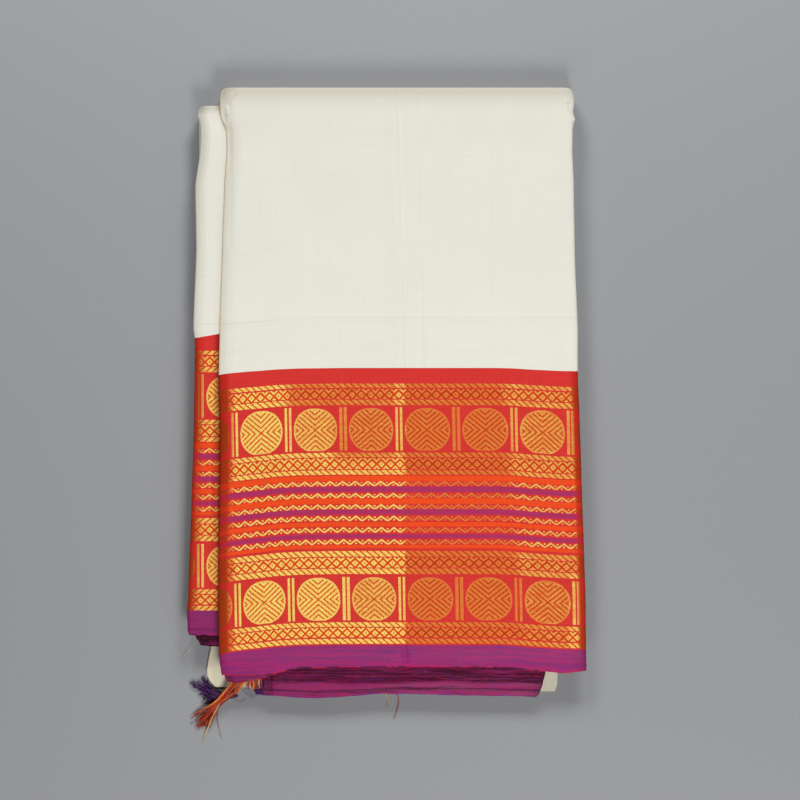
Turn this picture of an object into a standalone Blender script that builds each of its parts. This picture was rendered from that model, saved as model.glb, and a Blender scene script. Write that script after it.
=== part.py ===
# A kanchipuram silk saree, folded into a packet and lying flat.
# The long strip is folded over and over along its length, then folded in half
# across its width, so every layer is a U: a front leg, a fold at the top, a back leg.
# Sizes are in millimetres and turned into metres when a point is placed.
# X runs to the right, Y towards the top fold, Z up from the floor.

import math

import bmesh
import bpy
from mathutils import Vector

MM = 0.001

# Stack
HALF_STACK = 15.0      # half the height of the packet, and the radius of its top fold
FOLD_Y = 305.0         # where the legs end and the top fold begins
WALL = 1.5             # one built layer of cloth
SLIT = 0.6             # air between the two layers of a folded pair
GAP = 0.35             # air between neighbouring pieces
SEAM = 0.3             # air where two woven stretches join
PAIR = 2 * WALL + SLIT
FOLD_STEPS = 8         # facets round the top fold
SIDE_STEPS = 4         # facets round a side fold
STATION_MARGIN = 4.0   # the least distance between two rows of points along a leg

# Where the colours change, measured up the front leg
FRONT_BOTTOM = -259.5
FRONT_SELVEDGE_TOP = -237.6
FRONT_JOIN = 40.0
LEFT_BOTTOM = -228.0
LEFT_SELVEDGE_TOP = -203.0
LEFT_JOIN = 72.0

# How far out from the packet's middle plane each piece lies
FRONT_OUT = HALF_STACK
LEFT_OUT = FRONT_OUT - PAIR - GAP
CORE_OUT = LEFT_OUT - PAIR - GAP
CORE_IN = 0.6

# Rows of (y, height of the packet): the free edges lie flatter than the folds
STACK_HEIGHTS = ((-320, 22.0), (-240, 24.5), (-150, 28.5), (-20, 30.0), (400, 30.0))

# Rows of (y, left edge, right edge) for each stretch
FRONT_EDGES = (
    (-266, -165.7, 200.0), (-192, -166.0, 199.0), (-92, -166.6, 195.5), (-12, -167.0, 193.0),
    (36, -168.2, 191.0), (80, -167.4, 191.0), (156, -165.4, 188.0), (225, -163.2, 187.0),
    (258, -161.0, 185.6), (279, -161.8, 186.0), (289, -165.2, 188.0), (296, -166.6, 186.4),
    (305, -167.0, 187.2),
)
BACK_EDGES = (
    (-285, -176.5, 171.0), (-272, -181.6, 172.0), (-239, -177.4, 172.6), (-150, -174.0, 175.0),
    (0, -172.0, 180.0), (156, -170.0, 183.0), (305, -167.0, 187.2),
)
LEFT_EDGES = (
    (-228, -199.4, 187.0), (-204, -200.0, 189.0), (-192, -199.2, 190.0), (-92, -196.0, 191.0),
    (-20, -193.6, 190.0), (70, -192.4, 188.0), (80, -194.2, 188.0), (158, -190.4, 185.5),
    (229, -191.6, 184.0), (269, -186.8, 181.5), (290, -187.0, 184.0), (305, -189.4, 183.0),
)
LEFT_BACK_EDGES = (
    (-266, -166.0, 161.0), (-240, -173.0, 166.0), (-215, -184.0, 168.0), (-92, -190.0, 174.0),
    (156, -189.0, 180.0), (305, -189.4, 183.0),
)
CORE_EDGES = (
    (-240, -193.0, 158.0), (-216, -195.0, 170.0), (-150, -195.5, 182.0), (-20, -191.0, 186.0),
    (80, -191.5, 184.5), (158, -187.5, 182.0), (229, -189.0, 181.0), (266, -184.5, 179.0),
    (305, -186.5, 180.0),
)
CORE_BACK_EDGES = (
    (-262, -165.0, 156.0), (-240, -170.0, 161.0), (-215, -181.0, 165.0), (-92, -187.0, 171.0),
    (156, -186.0, 177.0), (305, -186.5, 180.0),
)

# Rows of (x, how far the front stretch's lower rows hang below their middle)
FRONT_DROOP = (
    (-170, 9.4), (-150, 6.6), (-137, 5.0), (-107, 1.8), (-87, 0.7), (-45, 0.0), (110, 0.0),
    (148, 2.6), (175, 4.3), (202, 4.6),
)
DROOP_TO_Y = -110.0    # the rows below this one hang in full
# Rows of (x, how much further its free edge hangs)
FRONT_EDGE_DROOP = (
    (-166, -1.3), (-150, 1.9), (-137, 3.4), (-115, 4.7), (-97, 1.3), (-87, 0.4), (93, 0.0),
    (159, 1.1), (176, 1.8), (200, -1.1),
)

# The left stretch and the layers under it fold lower than the front stretch does
TUCK_DEPTH = 13.9
TUCK_FROM_X = -166.0
TUCK_TO_X = -150.0
TUCK_START_Y = 150.0

# The back stretch ends a little higher at its left corner
BACK_LIFT = 4.4
BACK_LIFT_X = (-100.0, -150.0)
BACK_LIFT_Y = (-239.0, -285.0)

# The front stretch settles on the layers below once the left stretch has ended
SETTLE_DEPTH = 1.9
SETTLE_FROM_Y = -236.0
SETTLE_TO_Y = -257.0

# Columns of points across a stretch
FRONT_COLUMNS = (-150, -115, -97, -54, 20, 93, 159, 176)
LEFT_COLUMNS = (-166, -158, -150, -97, 0, 93, 150)
CORE_COLUMNS = (-166, -158, -150, -130, -120, -54, 20, 93, 145)

# Hidden layers: folds that show at the sides
CORE_FOLDS = 3
CORE_FOLD_INSETS = (0.0, 2.6, 1.0)
GROOVE = ((0.0, 1.3), (0.22, 0.35), (0.5, 0.0), (0.78, 0.35))
CORE_LEFT_END = -216.0
CORE_RIGHT_END = -240.0
CORE_STEP_X = (-130.0, -120.0)

# Purple edges: rows of (node, out, start y, end y, left top, left bottom, right top, right bottom)
EDGE_LAYERS = (
    ("inner_selvedge_1", 7.10, -240.4, -268.0, -122.0, -122.5, 160.0, 159.2),
    ("inner_selvedge_2", 5.30, -240.4, -274.5, -123.5, -124.0, 159.5, 158.0),
    ("inner_selvedge_3", 3.50, -240.4, -283.5, -124.5, -125.0, 159.0, 155.5),
    ("inner_selvedge_4", 1.70, -240.4, -289.0, -125.5, -126.5, 158.0, 152.5),
    ("left_under_selvedge_1", 7.10, -216.4, -234.0, -193.0, -191.5, -131.0, -131.0),
    ("left_under_selvedge_2", 5.30, -216.4, -239.5, -193.0, -188.5, -131.0, -131.0),
)
EDGE_THICKNESS = 1.5
EDGE_STEPS = 4
EDGE_COLUMNS = 8
EDGE_CORNER = 3.0      # how far an end's corner is rounded off

# The layer below the front stretch: rows of (x, where it ends)
UNDER_ENDS = (
    (-163.5, -273.5), (-150.0, -276.5), (-115.0, -273.0), (-97.0, -268.0), (-54.0, -262.0),
    (20.0, -257.5), (93.0, -257.5), (150.0, -260.0), (186.0, -260.0),
)

# Principled values: colour, roughness, metallic
SILK_WHITE = ((0.79, 0.80, 0.72), 0.45, 0.0)
SILK_RED = ((0.70, 0.04, 0.03), 0.40, 0.1)
SILK_PURPLE = ((0.30, 0.03, 0.15), 0.40, 0.0)
SILK_DARK = ((0.12, 0.01, 0.07), 0.45, 0.0)
THREAD_ORANGE = ((0.75, 0.10, 0.02), 0.55, 0.0)
THREAD_PURPLE = ((0.08, 0.02, 0.12), 0.55, 0.0)


def clear_scene():
    for obj in list(bpy.data.objects):
        bpy.data.objects.remove(obj, do_unlink=True)


def make_material(name, finish):
    colour, roughness, metallic = finish
    material = bpy.data.materials.new(name)
    material.use_nodes = True
    shader = material.node_tree.nodes["Principled BSDF"]
    shader.inputs["Base Color"].default_value = (*colour, 1.0)
    shader.inputs["Roughness"].default_value = roughness
    shader.inputs["Metallic"].default_value = metallic
    return material


def add_node(name, bm, finish):
    bmesh.ops.recalc_face_normals(bm, faces=bm.faces)
    mesh = bpy.data.meshes.new(name)
    bm.to_mesh(mesh)
    bm.free()
    obj = bpy.data.objects.new(name, mesh)
    mesh.materials.append(make_material(name, finish))
    bpy.context.scene.collection.objects.link(obj)
    return obj


def read_row(rows, key, column=1):
    """Straight interpolation in a table whose first column rises."""
    if key <= rows[0][0]:
        return rows[0][column]
    for low, high in zip(rows, rows[1:]):
        if key <= high[0]:
            part = (key - low[0]) / (high[0] - low[0])
            return low[column] + part * (high[column] - low[column])
    return rows[-1][column]


def smooth(value):
    value = min(max(value, 0.0), 1.0)
    return value * value * (3.0 - 2.0 * value)


def stack_height(y):
    return read_row(STACK_HEIGHTS, y)


def droop(x, y):
    """The front stretch's rows sag near its side folds, less so higher up, and its edge more."""
    weight = smooth((FOLD_Y - y) / (FOLD_Y - DROOP_TO_Y))
    edge = smooth((FRONT_SELVEDGE_TOP - y) / (FRONT_SELVEDGE_TOP - FRONT_BOTTOM))
    return -read_row(FRONT_DROOP, x) * weight - read_row(FRONT_EDGE_DROOP, x) * edge


def tuck(x, y):
    """The left stretch folds short of the front stretch's fold."""
    across = 1.0 - smooth((x - TUCK_FROM_X) / (TUCK_TO_X - TUCK_FROM_X))
    along = smooth((y - TUCK_START_Y) / (FOLD_Y - TUCK_START_Y))
    return -TUCK_DEPTH * across * along


def back_lift(x, y):
    across = smooth((BACK_LIFT_X[0] - x) / (BACK_LIFT_X[0] - BACK_LIFT_X[1]))
    along = smooth((BACK_LIFT_Y[0] - y) / (BACK_LIFT_Y[0] - BACK_LIFT_Y[1]))
    return BACK_LIFT * across * along


def settle(y):
    return SETTLE_DEPTH * smooth((SETTLE_FROM_Y - y) / (SETTLE_FROM_Y - SETTLE_TO_Y))


class Stretch:
    """One stretch of cloth: where its edges run and how it lies on the stack."""

    def __init__(self, front_edges, back_edges, columns, drooping=False, tucked=False):
        self.front_edges = front_edges
        self.back_edges = back_edges
        self.columns = columns
        self.drooping = drooping
        self.tucked = tucked

    def edges(self, station):
        leg, place = station
        if leg == "front":
            return [read_row(self.front_edges, place, column) for column in (1, 2)]
        if leg == "fold":
            return [read_row(self.front_edges, FOLD_Y, column) for column in (1, 2)]
        return [read_row(self.back_edges, place, column) for column in (1, 2)]

    def point(self, station, x, out):
        leg, place = station
        shift = tuck(x, FOLD_Y) if self.tucked else 0.0
        if leg == "fold":
            y = FOLD_Y + shift + out * math.cos(place)
            z = HALF_STACK + out * math.sin(place)
            return Vector((x, y, z)) * MM
        y = place
        if self.tucked:
            y += tuck(x, place)
        if self.drooping and leg == "front":
            y += droop(x, place)
            out -= settle(y)
        if self.drooping and leg == "back":
            y += back_lift(x, place)
        side = out if leg == "front" else -out
        z = stack_height(y) * (HALF_STACK + side) / (2 * HALF_STACK)
        return Vector((x, y, z)) * MM


FRONT = Stretch(FRONT_EDGES, BACK_EDGES, FRONT_COLUMNS, drooping=True)
LEFT = Stretch(LEFT_EDGES, LEFT_BACK_EDGES, LEFT_COLUMNS, tucked=True)
CORE = Stretch(CORE_EDGES, CORE_BACK_EDGES, CORE_COLUMNS, tucked=True)


def leg_stations(leg, low, high, rows):
    """Stations from low to high, one at each row of the edge and height tables between."""
    marks = [row[0] for row in rows] + [row[0] for row in STACK_HEIGHTS]
    if leg == "front":
        marks += [LEFT_BOTTOM, SETTLE_FROM_Y, (SETTLE_FROM_Y + SETTLE_TO_Y) / 2, TUCK_START_Y]
    places = [low]
    for mark in sorted(marks):
        if mark - places[-1] > STATION_MARGIN and high - mark > STATION_MARGIN:
            places.append(mark)
    places.append(high)
    return [(leg, place) for place in places]


def fold_stations():
    """Stations round the top fold, without the two that the legs already have."""
    turns = [math.pi / 2 - math.pi * step / FOLD_STEPS for step in range(1, FOLD_STEPS)]
    return [("fold", turn) for turn in turns]


def pair_loop(left, right, middle, radius, columns):
    """A flattened loop in section: straight runs joined by a round fold at each side."""
    loop = [(x, middle + radius) for x in (left + radius, *columns, right - radius)]
    for step in range(1, SIDE_STEPS):
        turn = math.pi / 2 - math.pi * step / SIDE_STEPS
        loop.append((right - radius + radius * math.cos(turn), middle + radius * math.sin(turn)))
    loop += [(x, middle - radius) for x in (right - radius, *reversed(columns), left + radius)]
    for step in range(1, SIDE_STEPS):
        turn = -math.pi / 2 - math.pi * step / SIDE_STEPS
        loop.append((left + radius + radius * math.cos(turn), middle + radius * math.sin(turn)))
    return loop


def join_loops(bm, first, second):
    count = len(first)
    for index in range(count):
        after = (index + 1) % count
        bm.faces.new((first[index], first[after], second[after], second[index]))


def build_pair(name, stretch, out, stations, finish):
    """Two layers joined by a fold at each side, following the stations."""
    bm = bmesh.new()
    middle = out - PAIR / 2
    skins = []
    for inset in (0.0, WALL):
        loops = []
        for station in stations:
            left, right = stretch.edges(station)
            section = pair_loop(left + inset, right - inset, middle, PAIR / 2 - inset, stretch.columns)
            loops.append([bm.verts.new(stretch.point(station, x, t)) for x, t in section])
        skins.append(loops)
    outer, inner = skins
    for loops in skins:
        for first, second in zip(loops, loops[1:]):
            join_loops(bm, first, second)
    for end in (0, -1):
        join_loops(bm, outer[end], inner[end])
    return add_node(name, bm, finish)


def build_block(name, grid, finish):
    """A solid from a grid of points: grid[station][level][column]."""
    bm = bmesh.new()
    verts = [[[bm.verts.new(point) for point in row] for row in plane] for plane in grid]
    stations, levels, columns = len(grid), len(grid[0]), len(grid[0][0])
    for k in range(stations - 1):
        for i in range(columns - 1):
            for j in (0, levels - 1):
                bm.faces.new((verts[k][j][i], verts[k][j][i + 1], verts[k + 1][j][i + 1], verts[k + 1][j][i]))
        for j in range(levels - 1):
            for i in (0, columns - 1):
                bm.faces.new((verts[k][j][i], verts[k][j + 1][i], verts[k + 1][j + 1][i], verts[k + 1][j][i]))
    for k in (0, stations - 1):
        for j in range(levels - 1):
            for i in range(columns - 1):
                bm.faces.new((verts[k][j][i], verts[k][j][i + 1], verts[k][j + 1][i + 1], verts[k][j + 1][i]))
    loose = [vert for vert in bm.verts if not vert.link_faces]
    bmesh.ops.delete(bm, geom=loose, context="VERTS")
    return add_node(name, bm, finish)


def core_levels():
    """Rows of (distance out, how far the side is drawn in) through the hidden layers."""
    depth = (CORE_OUT - CORE_IN) / CORE_FOLDS
    levels = []
    for fold in range(CORE_FOLDS):
        for part, drawn_in in GROOVE:
            levels.append((CORE_IN + depth * (fold + part), drawn_in + CORE_FOLD_INSETS[fold]))
    levels.append((CORE_OUT, GROOVE[0][1] + CORE_FOLD_INSETS[-1]))
    return levels


def core_end(x):
    """The hidden layers stop short at the left, where the left stretch ends."""
    part = (x - CORE_STEP_X[0]) / (CORE_STEP_X[1] - CORE_STEP_X[0])
    part = min(max(part, 0.0), 1.0)
    return CORE_LEFT_END + part * (CORE_RIGHT_END - CORE_LEFT_END)


def build_hidden_layers():
    stations = leg_stations("front", CORE_LEFT_END, FOLD_Y, CORE_EDGES)
    stations = [("front", CORE_RIGHT_END)] + stations
    stations += fold_stations()
    stations += reversed(leg_stations("back", CORE_BACK_EDGES[0][0], FOLD_Y, CORE_BACK_EDGES))
    grid = []
    for station in stations:
        left, right = CORE.edges(station)
        plane = []
        for out, drawn_in in core_levels():
            places = (left + drawn_in, *CORE_COLUMNS, right - drawn_in)
            row = []
            for x in places:
                leg, place = station
                if station == stations[0]:
                    place = core_end(x)
                elif station == stations[1]:
                    place = (core_end(x) + stations[2][1]) / 2
                row.append(CORE.point((leg, place), x, out))
            plane.append(row)
        grid.append(plane)
    build_block("hidden_layers", grid, SILK_WHITE)


def build_edge_layer(row):
    """A purple edge: a flat wall that starts against the hidden layers and ends in a free edge."""
    name, out, start, end, left_top, left_bottom, right_top, right_bottom = row
    grid = []
    for step in range(EDGE_STEPS + 1):
        part = step / EDGE_STEPS
        left = left_top + part * (left_bottom - left_top)
        right = right_top + part * (right_bottom - right_top)
        if step == EDGE_STEPS:
            left += EDGE_CORNER / 2
            right -= EDGE_CORNER
        y = start + part * (end - start)
        plane = []
        for level in (out - EDGE_THICKNESS, out):
            xs = [left + (right - left) * column / EDGE_COLUMNS for column in range(EDGE_COLUMNS + 1)]
            plane.append([CORE.point(("front", y), x, level) for x in xs])
        grid.append(plane)
    build_block(name, grid, SILK_PURPLE)


def build_under_selvedge():
    """The layer below the front stretch: its edge peeps out at the lower left only."""
    out = CORE_OUT + GAP + EDGE_THICKNESS
    start = LEFT_BOTTOM - GAP
    grid = []
    for part in (0.0, 0.5, 1.0):
        plane = []
        for level in (out - EDGE_THICKNESS, out):
            plane.append([CORE.point(("front", start + part * (end - start)), x, level) for x, end in UNDER_ENDS])
        grid.append(plane)
    build_block("front_under_selvedge", grid, SILK_DARK)


def bezier(points, part):
    """A point on the curve that the control points draw out."""
    points = [Vector(point) for point in points]
    while len(points) > 1:
        points = [low.lerp(high, part) for low, high in zip(points, points[1:])]
    return points[0]


# Tufts: rows of named values. Paths and tips are (x, y, z); a tuft's head is one solid
# bundle and its strands fan out from the head's end.
TUFTS = {
    "tassel_orange": {
        "head": ((-138.5, -266.5, 15.4), (-148, -275, 12.5), (-162, -290, 6.0), (-167, -298, 4.2)),
        "tip": (-186.0, -316.47, 1.6), "spread": 15.0, "lift": 1.0,
        "head_size": ((5.0, 4.0), (4.6, 3.6)), "strands": (11, 4),
        "finish": THREAD_ORANGE,
    },
    "tassel_purple": {
        "head": ((-164.7, -288.7, 5.8), (-167.5, -288.5, 5.2), (-171, -288, 4.7), (-174, -287, 4.2)),
        "tip": (-193.0, -277.0, 1.6), "spread": 8.5, "lift": 1.0,
        "head_size": ((3.0, 2.4), (6.5, 3.2)), "strands": (10, 3),
        "finish": THREAD_PURPLE,
    },
    "tassel_short": {
        "head": ((-138.5, -276.5, 9.5), (-142, -280, 8.0), (-146, -285, 6.5), (-148, -288, 5.0)),
        "tip": (-153.0, -293.5, 1.8), "spread": 2.6, "lift": 0.8,
        "head_size": ((2.8, 2.6), (3.2, 2.6)), "strands": (5, 3),
        "finish": THREAD_PURPLE,
    },
}
HEAD_STEPS = 4
HEAD_ROUNDING = 0.8    # how much a head's sides are thinner than its middle
STRAND_STEPS = 4
STRAND_INSET = 0.05    # a strand is this much thinner than its place on the head
STRAND_AHEAD = 7.0     # how far a strand runs on before it bends
STRAND_TAPER = 0.97
SHORTER_BY_TURN = 0.16
SHORTER_AT_SIDE = 0.35

# The short fringe where the inner layers end
FRINGE_X = -128.4
FRINGE_TOP = -272.0
FRINGE_BOTTOM = -283.0
FRINGE_STRANDS = 16
FRINGE_LENGTH = 12.0
FRINGE_STRIP = 1.4
FRINGE_HEIGHT = (11.9, 13.3)
FRINGE_DROP = 8.0
FRINGE_INSET = 0.08
FRINGE_SWAY = 1.2


def strand_from_face(bm, face, places, taper):
    """Draws one strand out of a face, through the places, narrowing to its tip."""
    centre = face.calc_center_median()
    for place in places:
        made = bmesh.ops.extrude_discrete_faces(bm, faces=[face])
        face = made["faces"][0]
        for vert in face.verts:
            vert.co = place + (vert.co - centre) * taper
        centre = place
    return face


def build_tuft(name, tuft):
    across, up = tuft["strands"]
    path = tuft["head"]
    end_point = Vector(path[-1])
    direction = (end_point - bezier(path, 0.9)).normalized()
    side = direction.cross(Vector((0, 0, 1))).normalized()
    rise = Vector((0, 0, 1))
    bm = bmesh.new()
    planes = []
    for step in range(HEAD_STEPS + 1):
        part = step / HEAD_STEPS
        centre = bezier(path, part)
        (wide, high), (end_wide, end_high) = tuft["head_size"]
        wide += part * (end_wide - wide)
        high += part * (end_high - high)
        plane = []
        for j in range(up + 1):
            row = []
            for i in range(across + 1):
                u = i / across - 0.5
                v = j / up - 0.5
                rounded = math.sqrt(1.0 - (2 * u * HEAD_ROUNDING) ** 2)
                place = centre + side * (u * wide) + rise * (v * high * rounded)
                row.append(bm.verts.new(place * MM))
            plane.append(row)
        planes.append(plane)
    for k in range(HEAD_STEPS):
        for i in range(across):
            for j in (0, up):
                a, b = planes[k][j], planes[k + 1][j]
                bm.faces.new((a[i], a[i + 1], b[i + 1], b[i]))
        for j in range(up):
            for i in (0, across):
                a, b = planes[k], planes[k + 1]
                bm.faces.new((a[j][i], a[j + 1][i], b[j + 1][i], b[j][i]))
    ends = []
    for k in (0, HEAD_STEPS):
        for j in range(up):
            for i in range(across):
                plane = planes[k]
                face = bm.faces.new((plane[j][i], plane[j][i + 1], plane[j + 1][i + 1], plane[j + 1][i]))
                if k == HEAD_STEPS:
                    ends.append((face, i, j))
    loose = [vert for vert in bm.verts if not vert.link_faces]
    bmesh.ops.delete(bm, geom=loose, context="VERTS")
    bmesh.ops.recalc_face_normals(bm, faces=bm.faces)
    tip = Vector(tuft["tip"])
    for face, i, j in ends:
        u = (i + 0.5) / across - 0.5
        v = (j + 0.5) / up - 0.5
        start = face.calc_center_median()
        bmesh.ops.inset_individual(bm, faces=[face], thickness=STRAND_INSET * MM)
        reach = 1.0 - SHORTER_BY_TURN * ((i * 7 + j * 5) % 4) / 3 - SHORTER_AT_SIDE * abs(u)
        goal = tip + side * (2 * u * tuft["spread"]) + rise * (v * 2 * tuft["lift"])
        goal = (end_point + (goal - end_point) * reach) * MM
        goal.z = (tip.z + v * 2 * tuft["lift"]) * MM
        ahead = start + direction * STRAND_AHEAD * MM
        ahead.z = max(ahead.z, goal.z)
        places = [bezier((start, ahead, goal), (step + 1) / STRAND_STEPS) for step in range(STRAND_STEPS)]
        strand_from_face(bm, face, places, STRAND_TAPER)
    return add_node(name, bm, tuft["finish"])


def build_inner_fringe():
    """A narrow strip at the end of the inner layers with a row of short threads."""
    bm = bmesh.new()
    step = (FRINGE_BOTTOM - FRINGE_TOP) / FRINGE_STRANDS
    low, high = FRINGE_HEIGHT
    corners = []
    for index in range(FRINGE_STRANDS + 1):
        y = FRINGE_TOP + index * step
        right = FRINGE_X + FRINGE_STRIP
        ring = ((FRINGE_X, y, low), (FRINGE_X, y, high), (right, y, high), (right, y, low))
        corners.append([bm.verts.new(Vector(place) * MM) for place in ring])
    threads = []
    for first, second in zip(corners, corners[1:]):
        for index in range(4):
            after = (index + 1) % 4
            face = bm.faces.new((first[index], first[after], second[after], second[index]))
            if index == 0:
                threads.append(face)
    bm.faces.new(corners[0])
    bm.faces.new(corners[-1])
    bmesh.ops.recalc_face_normals(bm, faces=bm.faces)
    for index, face in enumerate(threads):
        start = face.calc_center_median()
        bmesh.ops.inset_individual(bm, faces=[face], thickness=FRINGE_INSET * MM)
        length = FRINGE_LENGTH * (0.75 + 0.25 * ((index * 5) % 4) / 3)
        places = []
        for part in (0.35, 0.7, 1.0):
            places.append(start + Vector((-length * part, FRINGE_SWAY * part, -FRINGE_DROP * part * part)) * MM)
        strand_from_face(bm, face, places, 0.95)
    return add_node("inner_fringe", bm, THREAD_ORANGE)


def build_front_stretch():
    rows = FRONT_EDGES
    low = leg_stations("front", FRONT_BOTTOM, FRONT_SELVEDGE_TOP - SEAM / 2, rows)
    build_pair("front_selvedge", FRONT, FRONT_OUT, low, SILK_PURPLE)
    middle = leg_stations("front", FRONT_SELVEDGE_TOP + SEAM / 2, FRONT_JOIN - SEAM / 2, rows)
    build_pair("front_border", FRONT, FRONT_OUT, middle, SILK_RED)
    high = leg_stations("front", FRONT_JOIN + SEAM / 2, FOLD_Y, rows)
    high += fold_stations() + [("back", FOLD_Y)]
    build_pair("front_body", FRONT, FRONT_OUT, high, SILK_WHITE)
    back = leg_stations("back", BACK_EDGES[0][0], FOLD_Y - SEAM, BACK_EDGES)
    build_pair("back_body", FRONT, FRONT_OUT, back, SILK_WHITE)


def build_left_stretch():
    rows = LEFT_EDGES
    low = leg_stations("front", LEFT_BOTTOM, LEFT_SELVEDGE_TOP - SEAM / 2, rows)
    build_pair("left_selvedge", LEFT, LEFT_OUT, low, SILK_PURPLE)
    middle = leg_stations("front", LEFT_SELVEDGE_TOP + SEAM / 2, LEFT_JOIN - SEAM / 2, rows)
    build_pair("left_border", LEFT, LEFT_OUT, middle, SILK_RED)
    high = leg_stations("front", LEFT_JOIN + SEAM / 2, FOLD_Y, rows)
    high += fold_stations()
    high += reversed(leg_stations("back", LEFT_BACK_EDGES[0][0], FOLD_Y, LEFT_BACK_EDGES))
    build_pair("left_body", LEFT, LEFT_OUT, high, SILK_WHITE)


def main():
    clear_scene()
    build_front_stretch()
    build_left_stretch()
    build_hidden_layers()
    build_under_selvedge()
    for row in EDGE_LAYERS:
        build_edge_layer(row)
    for name, tuft in TUFTS.items():
        build_tuft(name, tuft)
    build_inner_fringe()


main()
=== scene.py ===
import math
import random

import bmesh
import bpy
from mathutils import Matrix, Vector, noise


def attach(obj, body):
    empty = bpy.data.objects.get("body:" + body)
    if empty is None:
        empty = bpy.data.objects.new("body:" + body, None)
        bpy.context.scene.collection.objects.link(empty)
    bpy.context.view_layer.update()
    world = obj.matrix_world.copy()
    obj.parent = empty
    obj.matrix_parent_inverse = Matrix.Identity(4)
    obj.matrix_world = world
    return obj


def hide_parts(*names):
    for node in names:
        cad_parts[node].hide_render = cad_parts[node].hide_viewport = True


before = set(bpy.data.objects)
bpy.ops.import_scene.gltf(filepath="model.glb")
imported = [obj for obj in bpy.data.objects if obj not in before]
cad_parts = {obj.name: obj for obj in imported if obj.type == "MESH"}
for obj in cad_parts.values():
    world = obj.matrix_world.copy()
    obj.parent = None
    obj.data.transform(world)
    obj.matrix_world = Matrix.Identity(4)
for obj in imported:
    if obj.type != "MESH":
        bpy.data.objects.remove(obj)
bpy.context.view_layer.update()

# A kanchipuram silk saree, folded into a packet and lying flat.
# Sizes are in millimetres; mm turns them into metres. X runs to the right,
# Y towards the top fold, Z up from the floor.
mm = 0.001
blenderScene = bpy.context.scene
random.seed(11)

# How the packet lies

stack = {
    "half": 15.0,          # half its height, and the radius of the top fold
    "foldY": 305.0,
    "foldReach": 1.13,     # how far the folds reach, for each millimetre of their radius
    "corner": 2.2,         # how far the corners of a fold draw in
    "heights": ((-320, 22.0), (-240, 24.5), (-150, 28.5), (-20, 30.0), (400, 30.0)),
    "softness": 0.35,      # how much the corners of a table's curve are softened
    "endRow": 0.14,        # from a stretch's end to the row beside it
    "floorGap": 0.05,
}
# edges: y, left edge, right edge
front = {
    "edges": (
        (-268, -164.6, 200.0), (-255, -166.6, 200.0), (-245, -167.8, 199.7), (-235, -168.6, 199.5),
        (-192, -169.2, 199.0), (-130, -169.0, 197.0), (-92, -168.2, 195.5), (-42, -167.4, 194.0),
        (-12, -167.2, 193.0), (36, -168.6, 191.0), (80, -167.6, 191.0), (156, -164.8, 188.0),
        (225, -162.2, 187.0), (258, -160.0, 185.6), (278, -160.6, 186.0), (284, -163.0, 187.0),
        (289, -165.4, 188.2), (293, -166.4, 186.7), (296, -166.8, 186.3), (305, -167.2, 187.4),
    ),
    "backEdges": (
        (-286, -174.0, 169.4), (-282, -178.0, 171.4), (-272, -182.4, 172.0), (-255, -180.6, 172.3),
        (-239, -177.4, 172.6), (-150, -174.0, 175.0), (0, -172.0, 180.0), (156, -170.0, 183.0),
        (305, -167.2, 187.4),
    ),
    "droops": True, "tucks": False,
}
left = {
    "edges": (
        (-228, -198.2, 187.0), (-225, -200.0, 187.0), (-204, -200.6, 189.0), (-192, -199.6, 190.0),
        (-92, -196.0, 191.0), (-20, -193.6, 190.0), (70, -192.4, 188.0), (80, -194.2, 188.0),
        (158, -191.2, 185.5), (229, -192.2, 184.0), (269, -187.4, 181.5), (286, -186.6, 183.0),
        (298, -187.0, 184.0), (303, -188.6, 183.4), (305, -189.6, 183.0),
    ),
    "backEdges": (
        (-266, -166.0, 161.0), (-240, -173.0, 166.0), (-215, -184.0, 168.0), (-92, -190.0, 174.0),
        (156, -189.0, 180.0), (305, -189.4, 183.0),
    ),
    "droops": False, "tucks": True,
    # the line where the left stretch turns red rises to the right
    "joinSlope": {"at": 72.0, "reach": 7.0, "middle": -181.0, "most": 14.0, "slope": 0.17},
}
inner = {
    "edges": (
        (-240, -193.0, 158.0), (-216, -195.0, 170.0), (-150, -195.5, 182.0), (-20, -191.0, 186.0),
        (80, -191.5, 184.5), (158, -187.5, 182.0), (229, -189.0, 181.0), (266, -184.5, 179.0),
        (305, -186.5, 180.0),
    ),
    "backEdges": (
        (-262, -165.0, 156.0), (-240, -170.0, 161.0), (-215, -181.0, 165.0), (-92, -187.0, 171.0),
        (156, -186.0, 177.0), (305, -186.5, 180.0),
    ),
    "droops": False, "tucks": True,
}
frontDroop = {
    # x, how far the front stretch hangs down there
    "rows": (
        (-170, 10.4), (-160, 8.0), (-150, 6.6), (-137, 5.0), (-107, 1.8), (-87, 0.7), (-45, 0.0),
        (110, 0.0), (125, 0.6), (148, 2.6), (175, 4.3), (193, 4.7), (202, 4.6),
    ),
    "y": (stack["foldY"], -110.0),      # none at the top fold, all of it below the second
}
tuck = {"depth": 13.9, "x": (-166.0, -150.0), "y": (150.0, stack["foldY"])}
backLift = {"up": 4.4, "x": (-100.0, -150.0), "y": (-239.0, -286.0)}
settling = {"down": 1.9, "y": (-236.0, -257.0)}


def ease(value, start=0.0, end=1.0):
    # from 0 at the start to 1 at the end, slow at both
    part = min(max((value - start) / (end - start), 0.0), 1.0)
    return part * part * (3.0 - 2.0 * part)


def between(pair, part):
    return pair[0] + part * (pair[1] - pair[0])


def ripple(x, y, z):
    return noise.noise(Vector((x, y, z)))


def rowAt(rows, key, column=1):
    # a table's value at a place between its rows
    if key <= rows[0][0]:
        return rows[0][column]
    if key >= rows[-1][0]:
        return rows[-1][column]
    index = next(i for i in range(1, len(rows)) if key <= rows[i][0])
    low, high = rows[index - 1], rows[index]
    part = (key - low[0]) / (high[0] - low[0])
    part += stack["softness"] * (ease(part) - part)
    return low[column] + part * (high[column] - low[column])


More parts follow.
